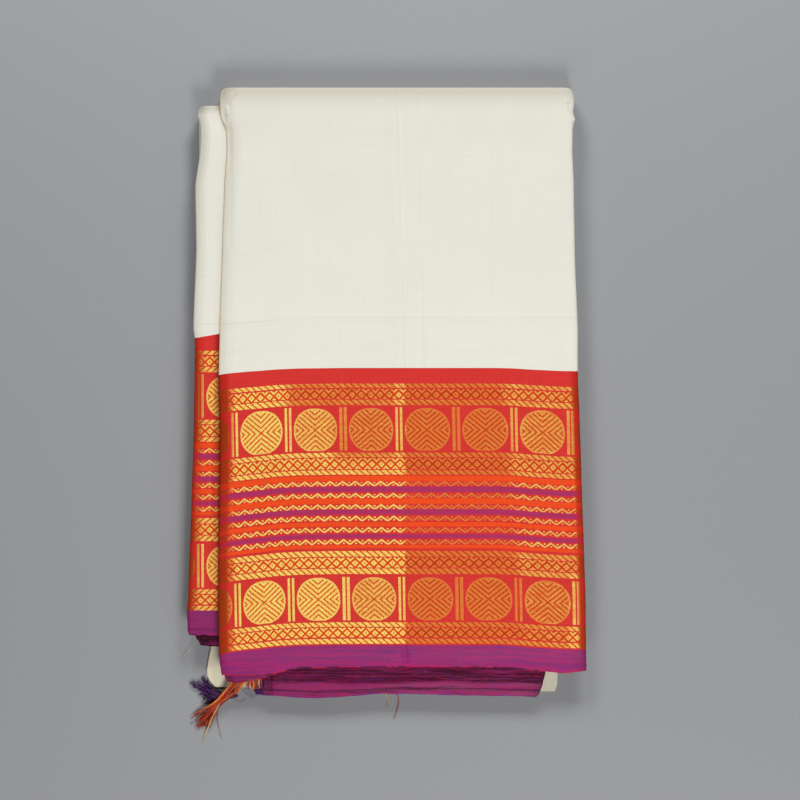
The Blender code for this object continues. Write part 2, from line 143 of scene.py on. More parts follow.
def tuckAt(x, y):
    return -tuck["depth"] * (1.0 - ease(x, *tuck["x"])) * ease(y, *tuck["y"])


def placeAt(form, station, x, out):
    # where a point of the cloth lies: out is its distance from the packet's middle plane
    leg, along = station
    if leg == "fold":
        y = stack["foldY"] + stack["foldReach"] * out * math.cos(along)
        if form["tucks"]:
            y += tuckAt(x, stack["foldY"])
        return Vector((x, y, stack["half"] + out * math.sin(along)))
    y = along
    if form["tucks"]:
        y += tuckAt(x, along)
    if leg == "front" and "joinSlope" in form:
        join = form["joinSlope"]
        rise = join["slope"] * min(max(x - join["middle"], -join["most"]), join["most"])
        y += rise * math.exp(-((along - join["at"]) / join["reach"]) ** 2)
    if leg == "front" and form["droops"]:
        y -= rowAt(frontDroop["rows"], x) * ease(along, *frontDroop["y"])
        out -= settling["down"] * ease(y, *settling["y"])
    if leg == "back" and form["droops"]:
        y += backLift["up"] * ease(x, *backLift["x"]) * ease(along, *backLift["y"])
    side = out if leg == "front" else -out
    return Vector((x, y, rowAt(stack["heights"], y) * (stack["half"] + side) / (2 * stack["half"])))


def edgesAt(form, station):
    leg, along = station
    if leg == "back":
        return rowAt(form["backEdges"], along, 1), rowAt(form["backEdges"], along, 2)
    inset = stack["corner"] * math.cos(along) ** 4 if leg == "fold" else 0.0
    along = stack["foldY"] if leg == "fold" else along
    return rowAt(form["edges"], along, 1) + inset, rowAt(form["edges"], along, 2) - inset


def legStations(leg, low, high, step):
    # the extra row close to each end keeps the end's shading off the cloth beside it
    count = max(2, round((high - low) / step))
    middle = [low + (high - low) * k / count for k in range(1, count)]
    return [(leg, y) for y in (low, low + stack["endRow"], *middle, high - stack["endRow"], high)]


def foldStations(steps):
    return [("fold", math.pi / 2 - math.pi * k / steps) for k in range(1, steps)]


# Painted shade on the cloth, kept in its shade attribute: how deep it is, by millimetres from its left, right and top
# folds, along it, and from the edge of the front stretch

whiteAlong = ((40, 0.5), (158, 0.6), (258, 1.0))
borderLeft = ((0, 0.3), (3, 0.15), (7, 0.05), (9, 0.0))


def paintedShadeLook(**rows):
    nowhere, everywhere = ((0, 0.0),), ((0, 1.0),)
    plain = {"left": nowhere, "right": nowhere, "top": nowhere, "along": everywhere, "beside": nowhere}
    return {**plain, **rows}


paintedShadeLooks = {
    # the white: painted shade where its top and side folds roll away from the light
    "front": paintedShadeLook(
        left=(
            (0, 0.0), (2, 0.14), (3.5, 0.22), (5.5, 0.2), (7.5, 0.15), (9.5, 0.1), (11.5, 0.07),
            (13.5, 0.04), (16, 0.0),
        ),
        right=((0, 0.12), (1.2, 0.06), (3, 0.0)),
        top=(
            (0, 0.34), (2, 0.44), (8, 0.45), (10.4, 0.39), (12.4, 0.33), (14.4, 0.24), (16.4, 0.17),
            (18.4, 0.13), (26, 0.08), (70, 0.0),
        ),
        along=whiteAlong,
    ),
    "left": paintedShadeLook(
        left=((0, 0.0), (2, 0.2), (3.5, 0.31), (5.5, 0.22), (7.5, 0.13), (9.5, 0.04), (11, 0.0)),
        top=(
            (0, 0.3), (2.5, 0.42), (4.5, 0.44), (6.5, 0.38), (8.5, 0.28), (10.5, 0.14), (12.5, 0.08),
            (17, 0.0),
        ),
        along=whiteAlong, beside=((0, 0.16), (2, 0.1), (4, 0.04), (6, 0.0)),
    ),
    # the left border and selvedge: painted shade beside the front stretch's edge, under its overhang
    "leftBorder": paintedShadeLook(
        left=((0, 0.3), (1.5, 0.12), (3, 0.0)),
        beside=((-3, 0.9), (0, 0.84), (1.6, 0.66), (3.2, 0.3), (4.8, 0.1), (7, 0.0)),
    ),
    "leftSelvedge": paintedShadeLook(
        left=((0, 0.3), (1.5, 0.12), (3, 0.0)),
        beside=((-3, 0.9), (0, 0.85), (1.6, 0.76), (3.2, 0.48), (4.8, 0.2), (7, 0.04), (9, 0.0)),
    ),
    # the front border and selvedge: painted shade at their rolled left and right ends
    "frontBorder": paintedShadeLook(left=borderLeft, right=((0, 0.35), (1.5, 0.15), (3, 0.05), (5, 0.0))),
    "frontSelvedge": paintedShadeLook(left=borderLeft, right=((0, 0.5), (2, 0.3), (6, 0.14), (14, 0.0))),
    # the purple edges: painted shade at the crosswise fold near their left end, and at their right ends
    "edges": paintedShadeLook(
        left=((0, 0.3), (2.6, 0.2), (4.4, 0.6), (6.4, 0.5), (8, 0.1), (10, 0.0)),
        right=((0, 0.6), (3, 0.34), (8, 0.12), (16, 0.0)),
    ),
}


def paintedShadeAt(look, fromLeft, fromRight, fromTop, place):
    side = (rowAt(look["left"], fromLeft) + rowAt(look["right"], fromRight)) * rowAt(look["along"], place.y)
    beside = rowAt(look["beside"], rowAt(front["edges"], place.y) - place.x)
    return min(side + beside + rowAt(look["top"], fromTop), 1.0)


# Cloth pairs: two layers of cloth that are joined at their side folds

pairLook = {
    "closer": 0.0, "sideFrom": (2.0, 2.0), "shade": None, "wave": 0.0, "seed": 0, "inset": 0.0,
    "endLeg": "front",
    "tightTurn": 1.6, "waist": 0.45,           # the lower layer's turn, and how low it begins
    "sideReach": 5.0,                          # width of the fade beside a side fold
    "waveLong": (45.0, 52.0), "waveShift": (0.0, 40.5), "backShift": (1.3, 2.7),
    "raggedLong": (16.0, 4.2), "raggedShift": (7.1, 3.3), "raggedHigh": (1.0, 0.5),
    "merge": 0.002,                            # points closer than this are one
}
whiteSides = (-0.6, -6.0)      # painted warm light along a white fold's edge: a narrow line, only on the left


def loopMarks(top, under, turn):
    # the parts of a flattened loop of cloth, from the middle of its underside and round
    parts = (
        ("underLeft", under), ("lowLeft", turn), ("highLeft", turn), ("top", top),
        ("highRight", turn), ("lowRight", turn),
    )
    marks = [(part, k / count) for part, count in parts for k in range(count)]
    return marks + [("underRight", k / under) for k in range(under + 1)]


def loopPoint(mark, leftX, rightX, spec, half):
    # the upper layer rolls over softly at a side fold, the lower one turns tightly
    part, t = mark
    roll, middle = spec["roll"], spec["out"] - half
    tight = min(roll, spec["tightTurn"])
    waist = middle - spec["waist"] * half
    high, low = middle + half - waist, waist - middle + half
    turn = t * math.pi / 2
    centre = (leftX + rightX) / 2
    if part == "top":
        t -= spec["closer"] * math.sin(2 * math.pi * t) / (2 * math.pi)
        return leftX + roll + t * (rightX - leftX - 2 * roll), middle + half
    if part == "highLeft":
        return leftX + roll - roll * math.cos(turn), waist + high * math.sin(turn)
    if part == "highRight":
        return rightX - roll + roll * math.sin(turn), waist + high * math.cos(turn)
    if part == "lowRight":
        return rightX - tight + tight * math.cos(turn), waist - low * math.sin(turn)
    if part == "lowLeft":
        return leftX + tight - tight * math.sin(turn), waist - low * math.cos(turn)
    if part == "underRight":
        return rightX - tight + t * (centre - rightX + tight), middle - half
    return centre + t * (leftX + tight - centre), middle - half


def sidesAt(spec, station):
    # where the left and right folds of a pair lie
    leg, along = station
    leftX, rightX = edgesAt(spec["form"], station)
    if "edges" in spec:
        leftX, rightX = rowAt(spec["edges"], along, 1), rowAt(spec["edges"], along, 2)
    insets = [
        spec["inset"] + spec["wave"] * ripple(along / long, spec["seed"] + shift, level if leg == "back" else 0.0)
        for long, shift, level in zip(spec["waveLong"], spec["waveShift"], spec["backShift"])
    ]
    return leftX + insets[0], rightX - insets[1]


def halfAt(spec, station):
    # a stretch may get thinner towards its free end
    if "thinEnd" not in spec or station[0] != spec["endLeg"]:
        return spec["half"]
    thinFrom, thinTo, thin = spec["thinEnd"]
    return spec["half"] + (thin - spec["half"]) * ease(station[1], thinFrom, thinTo)


def measuredAcross(section, start):
    # the cloth's own x at each point, which runs on round the folds
    across = [0.0] * len(section)
    across[start] = section[start][0]
    for i in range(start + 1, len(section)):
        across[i] = across[i - 1] + math.dist(section[i], section[i - 1])
    for i in range(start - 1, -1, -1):
        across[i] = across[i + 1] - math.dist(section[i], section[i + 1])
    return across


def endShift(spec, station, x):
    # how far the free end and the cloth near it lie out of line
    if "ends" not in spec or station[0] != spec["endLeg"]:
        return 0.0
    rows, reach, ragged = spec["ends"]
    end = spec["stations"][0 if station[0] == "front" else -1][1]
    ripples = zip(spec["raggedHigh"], spec["raggedLong"], spec["raggedShift"])
    uneven = sum(high * ripple(x / long, spec["seed"], shift) for high, long, shift in ripples)
    return (rowAt(rows, x) + ragged * uneven) * (1.0 - ease((station[1] - end) / reach))


def addPair(bm, spec):
    spec = {**pairLook, **spec}
    form, stations = spec["form"], spec["stations"]
    marks = loopMarks(*spec["counts"])
    columns, rows = len(marks), len(stations)
    clothMap = bm.loops.layers.uv.get("clothMap") or bm.loops.layers.uv.new("clothMap")
    floats = bm.verts.layers.float
    sideNear, shadeOf = (floats.get(label) or floats.new(label) for label in ("sideNear", "shade"))
    verts = bmesh.ops.create_grid(bm, x_segments=columns - 1, y_segments=rows - 1, size=1.0)["verts"]
    topStart = next(i for i, mark in enumerate(marks) if mark[0] == "top")
    around = {}
    lengthways = 0.0
    previous = None
    for j, station in enumerate(stations):
        leftX, rightX = sidesAt(spec, station)
        half = halfAt(spec, station)
        section = [loopPoint(mark, leftX, rightX, spec, half) for mark in marks]
        across = measuredAcross(section, topStart)
        middlePlace = placeAt(form, station, 0.0, spec["out"])
        if previous is not None:
            lengthways += (middlePlace - previous).length
        previous = middlePlace
        if station[0] == "front":
            lengthways = station[1]
        for i, (x, out) in enumerate(section):
            place = placeAt(form, station, x, out)
            place.y += endShift(spec, station, x)
            if "relief" in spec:
                place.z += spec["relief"](marks[i][0], x, place.y, station)
            place.z = max(place.z, stack["floorGap"])
            fromLeft, fromRight = x - leftX, rightX - x
            # nearness to a side fold: the mask for painted shade on the zari's rolls and painted warm light on the
            # white
            fromSides = min(fromLeft - spec["sideFrom"][0], fromRight - spec["sideFrom"][1])
            side = 1.0 - ease(fromSides / spec["sideReach"])
            fromTop = placeAt(form, ("fold", 0.0), x, spec["out"]).y - place.y
            # painted shade, from the piece's table of it
            shade = paintedShadeAt(spec["shade"], fromLeft, fromRight, fromTop, place) if spec["shade"] else 0.0
            around[(i, j)] = (place * mm, spec["pattern"](across[i], lengthways), side, shade)
    for vert in verts:
        i = round((vert.co.x + 1) / 2 * (columns - 1))
        j = round((vert.co.y + 1) / 2 * (rows - 1))
        vert.co, cloth, vert[sideNear], vert[shadeOf] = around[(i, j)]
        for loop in vert.link_loops:
            loop[clothMap].uv = cloth
    bmesh.ops.remove_doubles(bm, verts=verts, dist=spec["merge"] * mm)


def turnOutwards(bm):
    # a face of the upper front layer looks up
    bmesh.ops.recalc_face_normals(bm, faces=bm.faces)
    highest = max(bm.faces, key=lambda face: face.calc_center_median().z)
    highest.normal_update()
    if highest.normal.z < 0:
        bmesh.ops.reverse_faces(bm, faces=bm.faces)


def placePiece(piece, nodes):
    blenderScene.collection.objects.link(piece)
    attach(piece, "root")
    if nodes:
        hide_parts(*nodes)
    return piece


def makePiece(name, bm, material, node, wall):
    turnOutwards(bm)
    mesh = bpy.data.meshes.new(name)
    bm.to_mesh(mesh)
    bm.free()
    for face in mesh.polygons:
        face.use_smooth = True
    mesh.materials.append(material)
    piece = bpy.data.objects.new(name, mesh)
    solid = piece.modifiers.new("wall", "SOLIDIFY")
    solid.thickness = wall * mm
    solid.offset = -1.0
    return placePiece(piece, [node])


def makeStretch(name, look, stations, material, node, slot, **more):
    bm = bmesh.new()
    addPair(bm, {**look, "stations": stations, **more})
    return makePiece(name, bm, material, node, look["wall"])


# Nodes for the finishes

class Field:
    # an output of a node; sums, products and comparisons of it make Math nodes
    def __init__(self, tree, socket):
        self.tree, self.socket = tree, socket

    def math(self, operation, *others):
        return field(self.tree, "Math", dict(enumerate((self, *others))), operation=operation)

    def ramp(self, fromLow, fromHigh, toLow=0.0, toHigh=1.0):
        values = dict(enumerate((self, fromLow, fromHigh, toLow, toHigh)))
        return field(self.tree, "MapRange", values, interpolation_type="SMOOTHSTEP")

    def __add__(self, other):
        return self.math("ADD", other)

    def __sub__(self, other):
        return self.math("SUBTRACT", other)

    def __rsub__(self, other):
        return field(self.tree, "Math", {0: other, 1: self}, operation="SUBTRACT")

    def __mul__(self, other):
        return self.math("MULTIPLY", other)

    def __truediv__(self, other):
        return self.math("DIVIDE", other)

    def __gt__(self, other):
        return self.math("GREATER_THAN", other)

    def __lt__(self, other):
        return self.math("LESS_THAN", other)

    def __abs__(self):
        return self.math("ABSOLUTE")


def plug(socket, value):
    # a Field is linked, a number or colour is set on the socket itself
    if isinstance(value, Field):
        value.tree.links.new(value.socket, socket)
    else:
        socket.default_value = value


def put(tree, kind, inputs=None, **settings):
    made = tree.nodes.new("ShaderNode" + kind)
    for key, value in settings.items():
        setattr(made, key, value)
    for key, value in (inputs or {}).items():
        plug(made.inputs[key], value)
    return made


def field(tree, kind, inputs=None, output=0, **settings):
    return Field(tree, put(tree, kind, inputs, **settings).outputs[output])


def blendColour(tree, share, first, second, mode="MIX"):
    return field(tree, "Mix", {0: share, 6: first, 7: second}, 2, data_type="RGBA", blend_type=mode)


def darkened(tree, base, tone):
    return blendColour(tree, 1.0, base, tone, "MULTIPLY")


def partsOf(vector):
    return [Field(vector.tree, socket) for socket in put(vector.tree, "SeparateXYZ", {0: vector}).outputs]


def joined(x, y):
    return field(x.tree, "CombineXYZ", {0: x, 1: y})


def grainOver(place, scale=1.0, detail=2.0, roughness=0.5, dimensions="2D"):
    inputs = {"W" if dimensions == "1D" else "Vector": place}
    inputs.update({"Scale": scale, "Detail": detail, "Roughness": roughness})
    return field(place.tree, "TexNoise", inputs, noise_dimensions=dimensions)


def largest(first, *others):
    for other in others:
        first = first.math("MAXIMUM", other)
    return first


def newGroup(name, inputs, outputs):
    tree = bpy.data.node_groups.new(name, "ShaderNodeTree")
    for label, kind, value in inputs:
        socket = tree.interface.new_socket(label, in_out="INPUT", socket_type="NodeSocket" + kind)
        if value is not None:
            socket.default_value = value
    for label in outputs:
        tree.interface.new_socket(label, in_out="OUTPUT", socket_type="NodeSocketFloat")
    start = {socket.name: Field(tree, socket) for socket in tree.nodes.new("NodeGroupInput").outputs}
    return tree, start, tree.nodes.new("NodeGroupOutput").inputs


def useGroup(group, inputs):
    tree = inputs["Cloth"].tree
    made = tree.nodes.new("ShaderNodeGroup")
    made.node_tree = group
    for key, value in inputs.items():
        plug(made.inputs[key], value)
    return {socket.name: Field(tree, socket) for socket in made.outputs}


def colour(red, green, blue):
    # sRGB 0-255 to a linear colour
    def linear(value):
        value /= 255
        return value / 12.92 if value <= 0.04045 else ((value + 0.055) / 1.055) ** 2.4
    return (linear(red), linear(green), linear(blue), 1.0)


print("stage: finishes")

weaveLook = {
    "pitch": 0.42, "thread": (0.35, 1.0), "slub": (46.0, 0.9), "slubDetail": (2.0, 0.6), "threadHeight": 0.5,
}


def makeWeaveGroup():
    # plain silk weave: fine crossed threads, and slubs, the thicker stretches of a thread
    group, start, end = newGroup(
        "silkWeave",
        [("Cloth", "Vector", None), ("Pitch", "Float", weaveLook["pitch"]), ("Slubs", "Float", 0.5)],
        ["Height", "Tone"],
    )
    across, along = partsOf(start["Cloth"])[:2]

    def crossed(x, y, wide, long, detail, roughness):
        # two sets of threads at right angles, lighter and darker than the middle
        sets = [grainOver(joined(x * a, y * b), 1.0, detail, roughness) for a, b in ((wide, long), (long, wide))]
        return sets[0] + sets[1] - 1.0

    threads = crossed(across / start["Pitch"], along / start["Pitch"], *weaveLook["thread"], 0.0, 0.5)
    slubs = crossed(across, along, *(1.0 / size for size in weaveLook["slub"]), *weaveLook["slubDetail"])
    slubs = slubs * start["Slubs"]
    plug(end["Height"], threads * weaveLook["threadHeight"] + slubs)
    plug(end["Tone"], slubs + 1.0)
    return group


zari = {
    # rows of the border: from and to, up from the selvedge
    "ropes": (
        (0.9, 6.3), (17.4, 22), (70.7, 76), (88.3, 93.5), (170.5, 175), (187.6, 191.8), (239.2, 244.6),
        (256.6, 260.8),
    ),
    "diamonds": ((7.3, 16.4), (77.1, 87.2), (176.1, 186.5), (245.7, 255.5)),
    "discs": ((24.2, 67.8), (194, 237)),
    "zigzags": ((100.5, 106), (112.5, 118), (124, 129.5), (135.7, 141), (146.6, 152.5), (159, 164)),
    "orange": ((96.5, 100), (119, 123.2), (141.2, 146.4), (164.3, 169)),
    "purple": ((106.4, 111), (130, 135.3), (153.2, 158.6)),
    "top": 277.0, "cell": 0.5,      # the whole border, and the weave's step
    "ropePitch": 6.8, "ropeSlant": 1.2, "ropeGap": 0.3,
    "diamondPitch": 9.4, "diamondTall": 4.6, "diamondRing": (0.55, 0.27),
    "discPitch": 56.28, "discWidth": 22.2, "discTall": 21.9, "discPower": 2.15, "discRim": 0.86,
    "discLine": 5.1, "discGap": 0.86, "discSlant": -0.85,
    "barPlace": 2.25, "barHalf": 1.35,
    "zigzagPitch": 12.75, "zigzagHalf": 2.2, "zigzagLine": 1.0, "dotLevel": 1.2, "dotSize": (0.8, 0.7),
    "threadPitch": 0.62, "threadRidge": 0.15,
}


def rowRamp(value, rows):
    # how far each place is from the middle of its row, and a mask of the rows, by constant steps
    ramp = put(value.tree, "ValToRGB", {0: value / zari["top"]})
    steps = ramp.color_ramp
    steps.interpolation = "CONSTANT"
    steps.elements[0].position, steps.elements[0].color = 0.0, (0, 0, 0, 0)
    steps.elements.remove(steps.elements[1])
    for low, high in rows:
        middle = (low + high) / 2 / zari["top"]
        steps.elements.new(low / zari["top"]).color = (middle, middle, middle, 1)
        steps.elements.new(high / zari["top"]).color = (0, 0, 0, 0)
    middle, mask = (Field(value.tree, socket) for socket in ramp.outputs)
    return value - middle * zari["top"], mask


def fromMiddle(value, pitch):
    # how far each place is from the middle of its repeat
    return abs(((value / pitch + 0.5).math("FRACT") - 0.5) * pitch)


def makeZariGroup():
    # the woven gold rows of the border; Cloth is in millimetres, its Y measured from the selvedge
    group, start, end = newGroup(
        "zariRows", [("Cloth", "Vector", None)], ["Gold", "Orange", "Purple", "Warm", "Ridge"],
    )
    across, along = partsOf(start["Cloth"])[:2]
    u, v = (value.math("SNAP", zari["cell"]) for value in (across, along))

    # slanted strokes
    away, ropeMask = rowRamp(v, zari["ropes"])
    rope = (((away * zari["ropeSlant"] + u) / zari["ropePitch"]).math("FRACT") > zari["ropeGap"]) * ropeMask

    # rings on their points, with crossed lines between
    away, diamondMask = rowRamp(v, zari["diamonds"])
    ring = fromMiddle(u, zari["diamondPitch"]) / (zari["diamondPitch"] / 2) + abs(away) / zari["diamondTall"]
    diamond = abs(ring - 1.0).math("COMPARE", *zari["diamondRing"]) * diamondMask

    # round discs of chevrons, with double bars between
    away, discMask = rowRamp(v, zari["discs"])
    du, dv = fromMiddle(u, zari["discPitch"]), abs(away)
    lines = fromMiddle(abs(du * zari["discSlant"] + dv), zari["discLine"]) > zari["discGap"]
    wide = (du / zari["discWidth"]).math("POWER", zari["discPower"])
    reach = wide + (dv / zari["discTall"]).math("POWER", zari["discPower"])
    inside = reach < 1.0
    bars = abs(zari["discPitch"] / 2 - du - zari["barPlace"]) < zari["barHalf"]
    disc = largest(largest(lines, reach > zari["discRim"]) * inside, bars) * discMask
    warm = largest(inside * discMask, ropeMask, diamondMask)

    # zigzags with a dot in each bend
    away, zigzagMask = rowRamp(v, zari["zigzags"])
    du = fromMiddle(u, zari["zigzagPitch"])
    steep = 2 * zari["zigzagHalf"] / (zari["zigzagPitch"] / 2)
    zigzag = abs(du * steep - zari["zigzagHalf"] - away) < zari["zigzagLine"]
    for at, level in ((0.0, zari["dotLevel"]), (zari["zigzagPitch"] / 2, -zari["dotLevel"])):
        dot = (abs(du - at) < zari["dotSize"][0]) * (abs(away - level) < zari["dotSize"][1])
        zigzag = largest(zigzag, dot)

    gold = largest(rope, diamond, disc, zigzag * zigzagMask)
    thread = (along * (2 * math.pi / zari["threadPitch"])).math("SINE")
    ridge = gold * (thread * zari["threadRidge"] + (1.0 - zari["threadRidge"]))
    orange, purple = (rowRamp(along, zari[stripe])[1] for stripe in ("orange", "purple"))
    for label, value in (("Gold", gold), ("Orange", orange), ("Purple", purple), ("Warm", warm), ("Ridge", ridge)):
        plug(end[label], value)
    return group


weaveGroup = makeWeaveGroup()
zariGroup = makeZariGroup()

silk = {name: colour(*shade) for name, shade in {
    "white": (235, 234, 221), "backWhite": (236, 230, 204), "whitePatch": (222, 219, 200),
    # paintedSideLight is painted warm light along a fold's edge; foldShade is the colour of painted shade on the white
    "paintedSideLight": (250, 237, 208), "foldShade": (120, 108, 84),
    "red": (222, 56, 54), "orange": (248, 81, 36), "purpleStripe": (180, 52, 100),
    # litWarmRed and litGold, unlitWarmRed and unlitGold: lit and unlit copies for the zari's painted sheen
    "litWarmRed": (234, 74, 20), "unlitWarmRed": (196, 56, 24), "redShade": (190, 36, 26), "paintedShadeRed": (84, 12, 6),
    "litGold": (255, 238, 124), "unlitGold": (221, 131, 66), "goldDeep": (247, 108, 34),
    "goldShade": (158, 66, 18), "hiddenGold": (226, 160, 62),
    "purple": (146, 42, 112), "magenta": (172, 38, 110), "violet": (92, 40, 136),
    "fleck": (206, 34, 70), "paintedShadePurple": (36, 6, 24),
}.items()}


def newMaterial(name):
    material = bpy.data.materials.new(name)
    material.use_nodes = True
    tree = material.node_tree
    return material, tree, tree.nodes["Principled BSDF"]


def clothPlace(tree):
    return field(tree, "UVMap", uv_map="clothMap")


def objectPlace(tree):
    return field(tree, "TexCoord", output="Object")


def painted(tree, label):
    return field(tree, "Attribute", output="Fac", attribute_name=label)


def finishCloth(tree, shader, base, height, look):
    # look: strength and depth (metres) of the bump, and what is set on the shader's own sockets
    strength, depth = look["bump"]
    plug(shader.inputs["Base Color"], base)
    bump = field(tree, "Bump", {"Height": height, "Strength": strength, "Distance": depth})
    plug(shader.inputs["Normal"], bump)
    for socket, value in look["shader"].items():
        plug(shader.inputs[socket], value)


paintedPressLook = {
    # painted shade of faint lines where the packet was once folded and pressed (a painted highlight where the depth is
    # below zero), with their half width and depth
    "lengthways": (      # lean, x
        (0.029, 19.1, 1.5, 0.045), (0.029, 21.6, 1.6, -0.02), (0.029, 9.0, 9.0, 0.02),
        (0.025, 38.5, 1.9, 0.035), (0.0, 105.0, 1.2, 0.02),
    ),
    "crosswise": ((90.6, 1.2, 0.07), (86.6, 0.8, 0.025), (252.0, 1.2, 0.02)),      # y
    "bend": (-170.0, -62.0, 6.5, 0.0),      # the crosswise lines bend down at the left
    "uneven": (0.3, 0.6, 0.35, 1.0), "unevenScale": 24.0,
    # painted light: the white is painted a little lighter away from the top fold
    "y": (40.0, 262.0, 300.0), "paintedLightTones": (1.043, 0.966),
}


def paintedPressLight(tree):
    place = objectPlace(tree)
    x, y = (value * 1000.0 for value in partsOf(place)[:2])
    lowY, highY, foldY = paintedPressLook["y"]
    lowTone, highTone = paintedPressLook["paintedLightTones"]
    tone = y.ramp(lowY, highY, lowTone, highTone) + y.ramp(highY, foldY, 0.0, 1.0 - highTone)
    uneven = grainOver(place, paintedPressLook["unevenScale"], dimensions="3D").ramp(*paintedPressLook["uneven"])
    bent = y + x.ramp(*paintedPressLook["bend"])
    lines = [(y * lean + x, *row) for lean, *row in paintedPressLook["lengthways"]]
    lines += [(bent, *row) for row in paintedPressLook["crosswise"]]
    for line, at, half, depth in lines:
        tone = tone - uneven * abs(line - at).ramp(0.0, half, depth, 0.0)
    return tone


whiteLook = {
    "slubs": 0.6, "tone": (0.8, 1.2, 0.975, 1.015), "patchScale": 0.012, "patches": (0.45, 0.7, 0.0, 0.12),
    "ribPitch": 2.6, "ribShade": 0.1,       # on the back alone
    "bump": (0.35, 0.0001),
    "shader": {"Roughness": 0.52, "Specular IOR Level": 0.25, "Sheen Weight": 0.15, "Sheen Roughness": 0.4},
}


def whiteSilk(name, white, ribbed):
    material, tree, shader = newMaterial(name)
    cloth = clothPlace(tree)
    weave = useGroup(weaveGroup, {"Cloth": cloth, "Slubs": whiteLook["slubs"]})
    base = darkened(tree, white, weave["Tone"].ramp(*whiteLook["tone"]))
    patches = grainOver(cloth, whiteLook["patchScale"], dimensions="3D").ramp(*whiteLook["patches"])
    base = blendColour(tree, patches, base, silk["whitePatch"])
    if ribbed:
        # darker stripes across the back: painted shade of fine pleats
        wave = (partsOf(cloth)[0] * (2 * math.pi / whiteLook["ribPitch"])).math("SINE")
        base = darkened(tree, base, wave.ramp(-1.0, 1.0, 1.0 - whiteLook["ribShade"], 1.0))
    else:
        base = darkened(tree, base, paintedPressLight(tree))
    # painted warm light along the left fold's edge
    base = blendColour(tree, painted(tree, "sideNear"), base, silk["paintedSideLight"])
    # painted shade at the folds and beside the front stretch
    base = blendColour(tree, painted(tree, "shade"), base, silk["foldShade"])
    finishCloth(tree, shader, base, weave["Height"], whiteLook)
    return material


# Painted sheen of the zari: where its gold and warm red are painted lit and where unlit
paintedSheenLook = {
    "leftStretch": 0.79,      # its painted sheen is even
    # painted sheen: which stretches of the front's zari are painted as catching the light, in x and in v, up from the
    # selvedge
    "selvedgeY": -237.6,
    "leftPart": (16.5, 20.0, 1.0, 0.0), "leftRoll": (-157.0, -150.0, 0.1, 1.0),      # it ends at a crease
    "rightPart": (-9.0, 10.0), "rightStart": (140.0, -0.09), "rightShare": 0.82,
    "lowRight": ((178.0, 187.0, 0.0, 0.7), (130.0, 142.0, 0.0, 0.3)), "lowTop": (66.0, 74.0),
    # a stretch of the upper rows painted with less sheen
    "dullStart": (234.0, 240.0, -52.0, -100.0), "dullEdge": (-8.0, 8.0), "dullEnd": (5.0, 9.0, 1.0, 0.35),
    "dullLow": (178.0, 194.0), "dullLoss": 0.82,
    # stretches painted with less sheen: centre x and v, half width and height, loss
    "dips": (
        (-71.0, 216.0, 34.0, 26.0, 0.32), (-12.0, 47.0, 34.0, 26.0, 0.38), (162.0, 214.0, 34.0, 26.0, 0.45),
        (165.0, 176.0, 48.0, 18.0, 0.4), (170.0, 83.0, 42.0, 14.0, 0.55), (165.0, 130.0, 42.0, 34.0, 0.3),
        (170.0, 46.0, 34.0, 26.0, 0.3), (160.0, 250.0, 40.0, 12.0, 0.25), (-70.0, 181.0, 92.0, 10.0, 0.12),
    ),
    "dipCore": (0.5, 0.6),
}


def frontPaintedSheen(tree):
    x, y = (value * 1000.0 for value in partsOf(objectPlace(tree))[:2])
    v = y - paintedSheenLook["selvedgeY"]
    leftBright = x.ramp(*paintedSheenLook["leftPart"]) * x.ramp(*paintedSheenLook["leftRoll"])
    startX, lean = paintedSheenLook["rightStart"]
    upper = (x - (v * lean + startX)).ramp(*paintedSheenLook["rightPart"])
    lower = x.ramp(*paintedSheenLook["lowRight"][0]) + x.ramp(*paintedSheenLook["lowRight"][1])
    high = v.ramp(*paintedSheenLook["lowTop"])
    rightBright = upper * high + lower * (1.0 - high)
    bright = largest(leftBright, rightBright * paintedSheenLook["rightShare"])
    dull = (x - v.ramp(*paintedSheenLook["dullStart"])).ramp(*paintedSheenLook["dullEdge"])
    dull = dull * x.ramp(*paintedSheenLook["dullEnd"]) * v.ramp(*paintedSheenLook["dullLow"])
    bright = bright * (dull * -paintedSheenLook["dullLoss"] + 1.0)
    coreX, coreV = paintedSheenLook["dipCore"]
    for centreX, centreV, wide, tall, loss in paintedSheenLook["dips"]:
        nearX = abs(x - centreX).ramp(coreX * wide, wide, loss, 0.0)
        nearV = abs(v - centreV).ramp(coreV * tall, tall)
        bright = bright * (1.0 - nearX * (1.0 - nearV))
    return bright


def leftPaintedSheen(tree):
    return paintedSheenLook["leftStretch"]


zariLook = {
    "slubs": 0.8, "tone": (0.75, 1.25, 0.9, 1.06),
    "mottleScale": (0.05, 0.35, 1.0), "mottleDetail": (3.0, 0.65), "mottle": (0.3, 0.7, -0.2, 0.14),
    "stitch": (0.95, 0.8, 1.0),
    "warm": 0.85,                 # how far the red between gold threads turns warm
    "deep": (0.75, -0.3),         # how far single threads turn deep, and less so where the sheen is painted
    "rollShade": 0.7, "weaveHeight": 0.4, "rough": (0.5, -0.1), "metal": 0.03,
    "bump": (0.4, 0.00012),
    "shader": {"Specular IOR Level": 0.12, "Specular Tint": silk["litGold"]},
}


def stripedGround(tree, rows):
    ground = blendColour(tree, rows["Orange"], silk["red"], silk["orange"])
    return blendColour(tree, rows["Purple"], ground, silk["purpleStripe"])


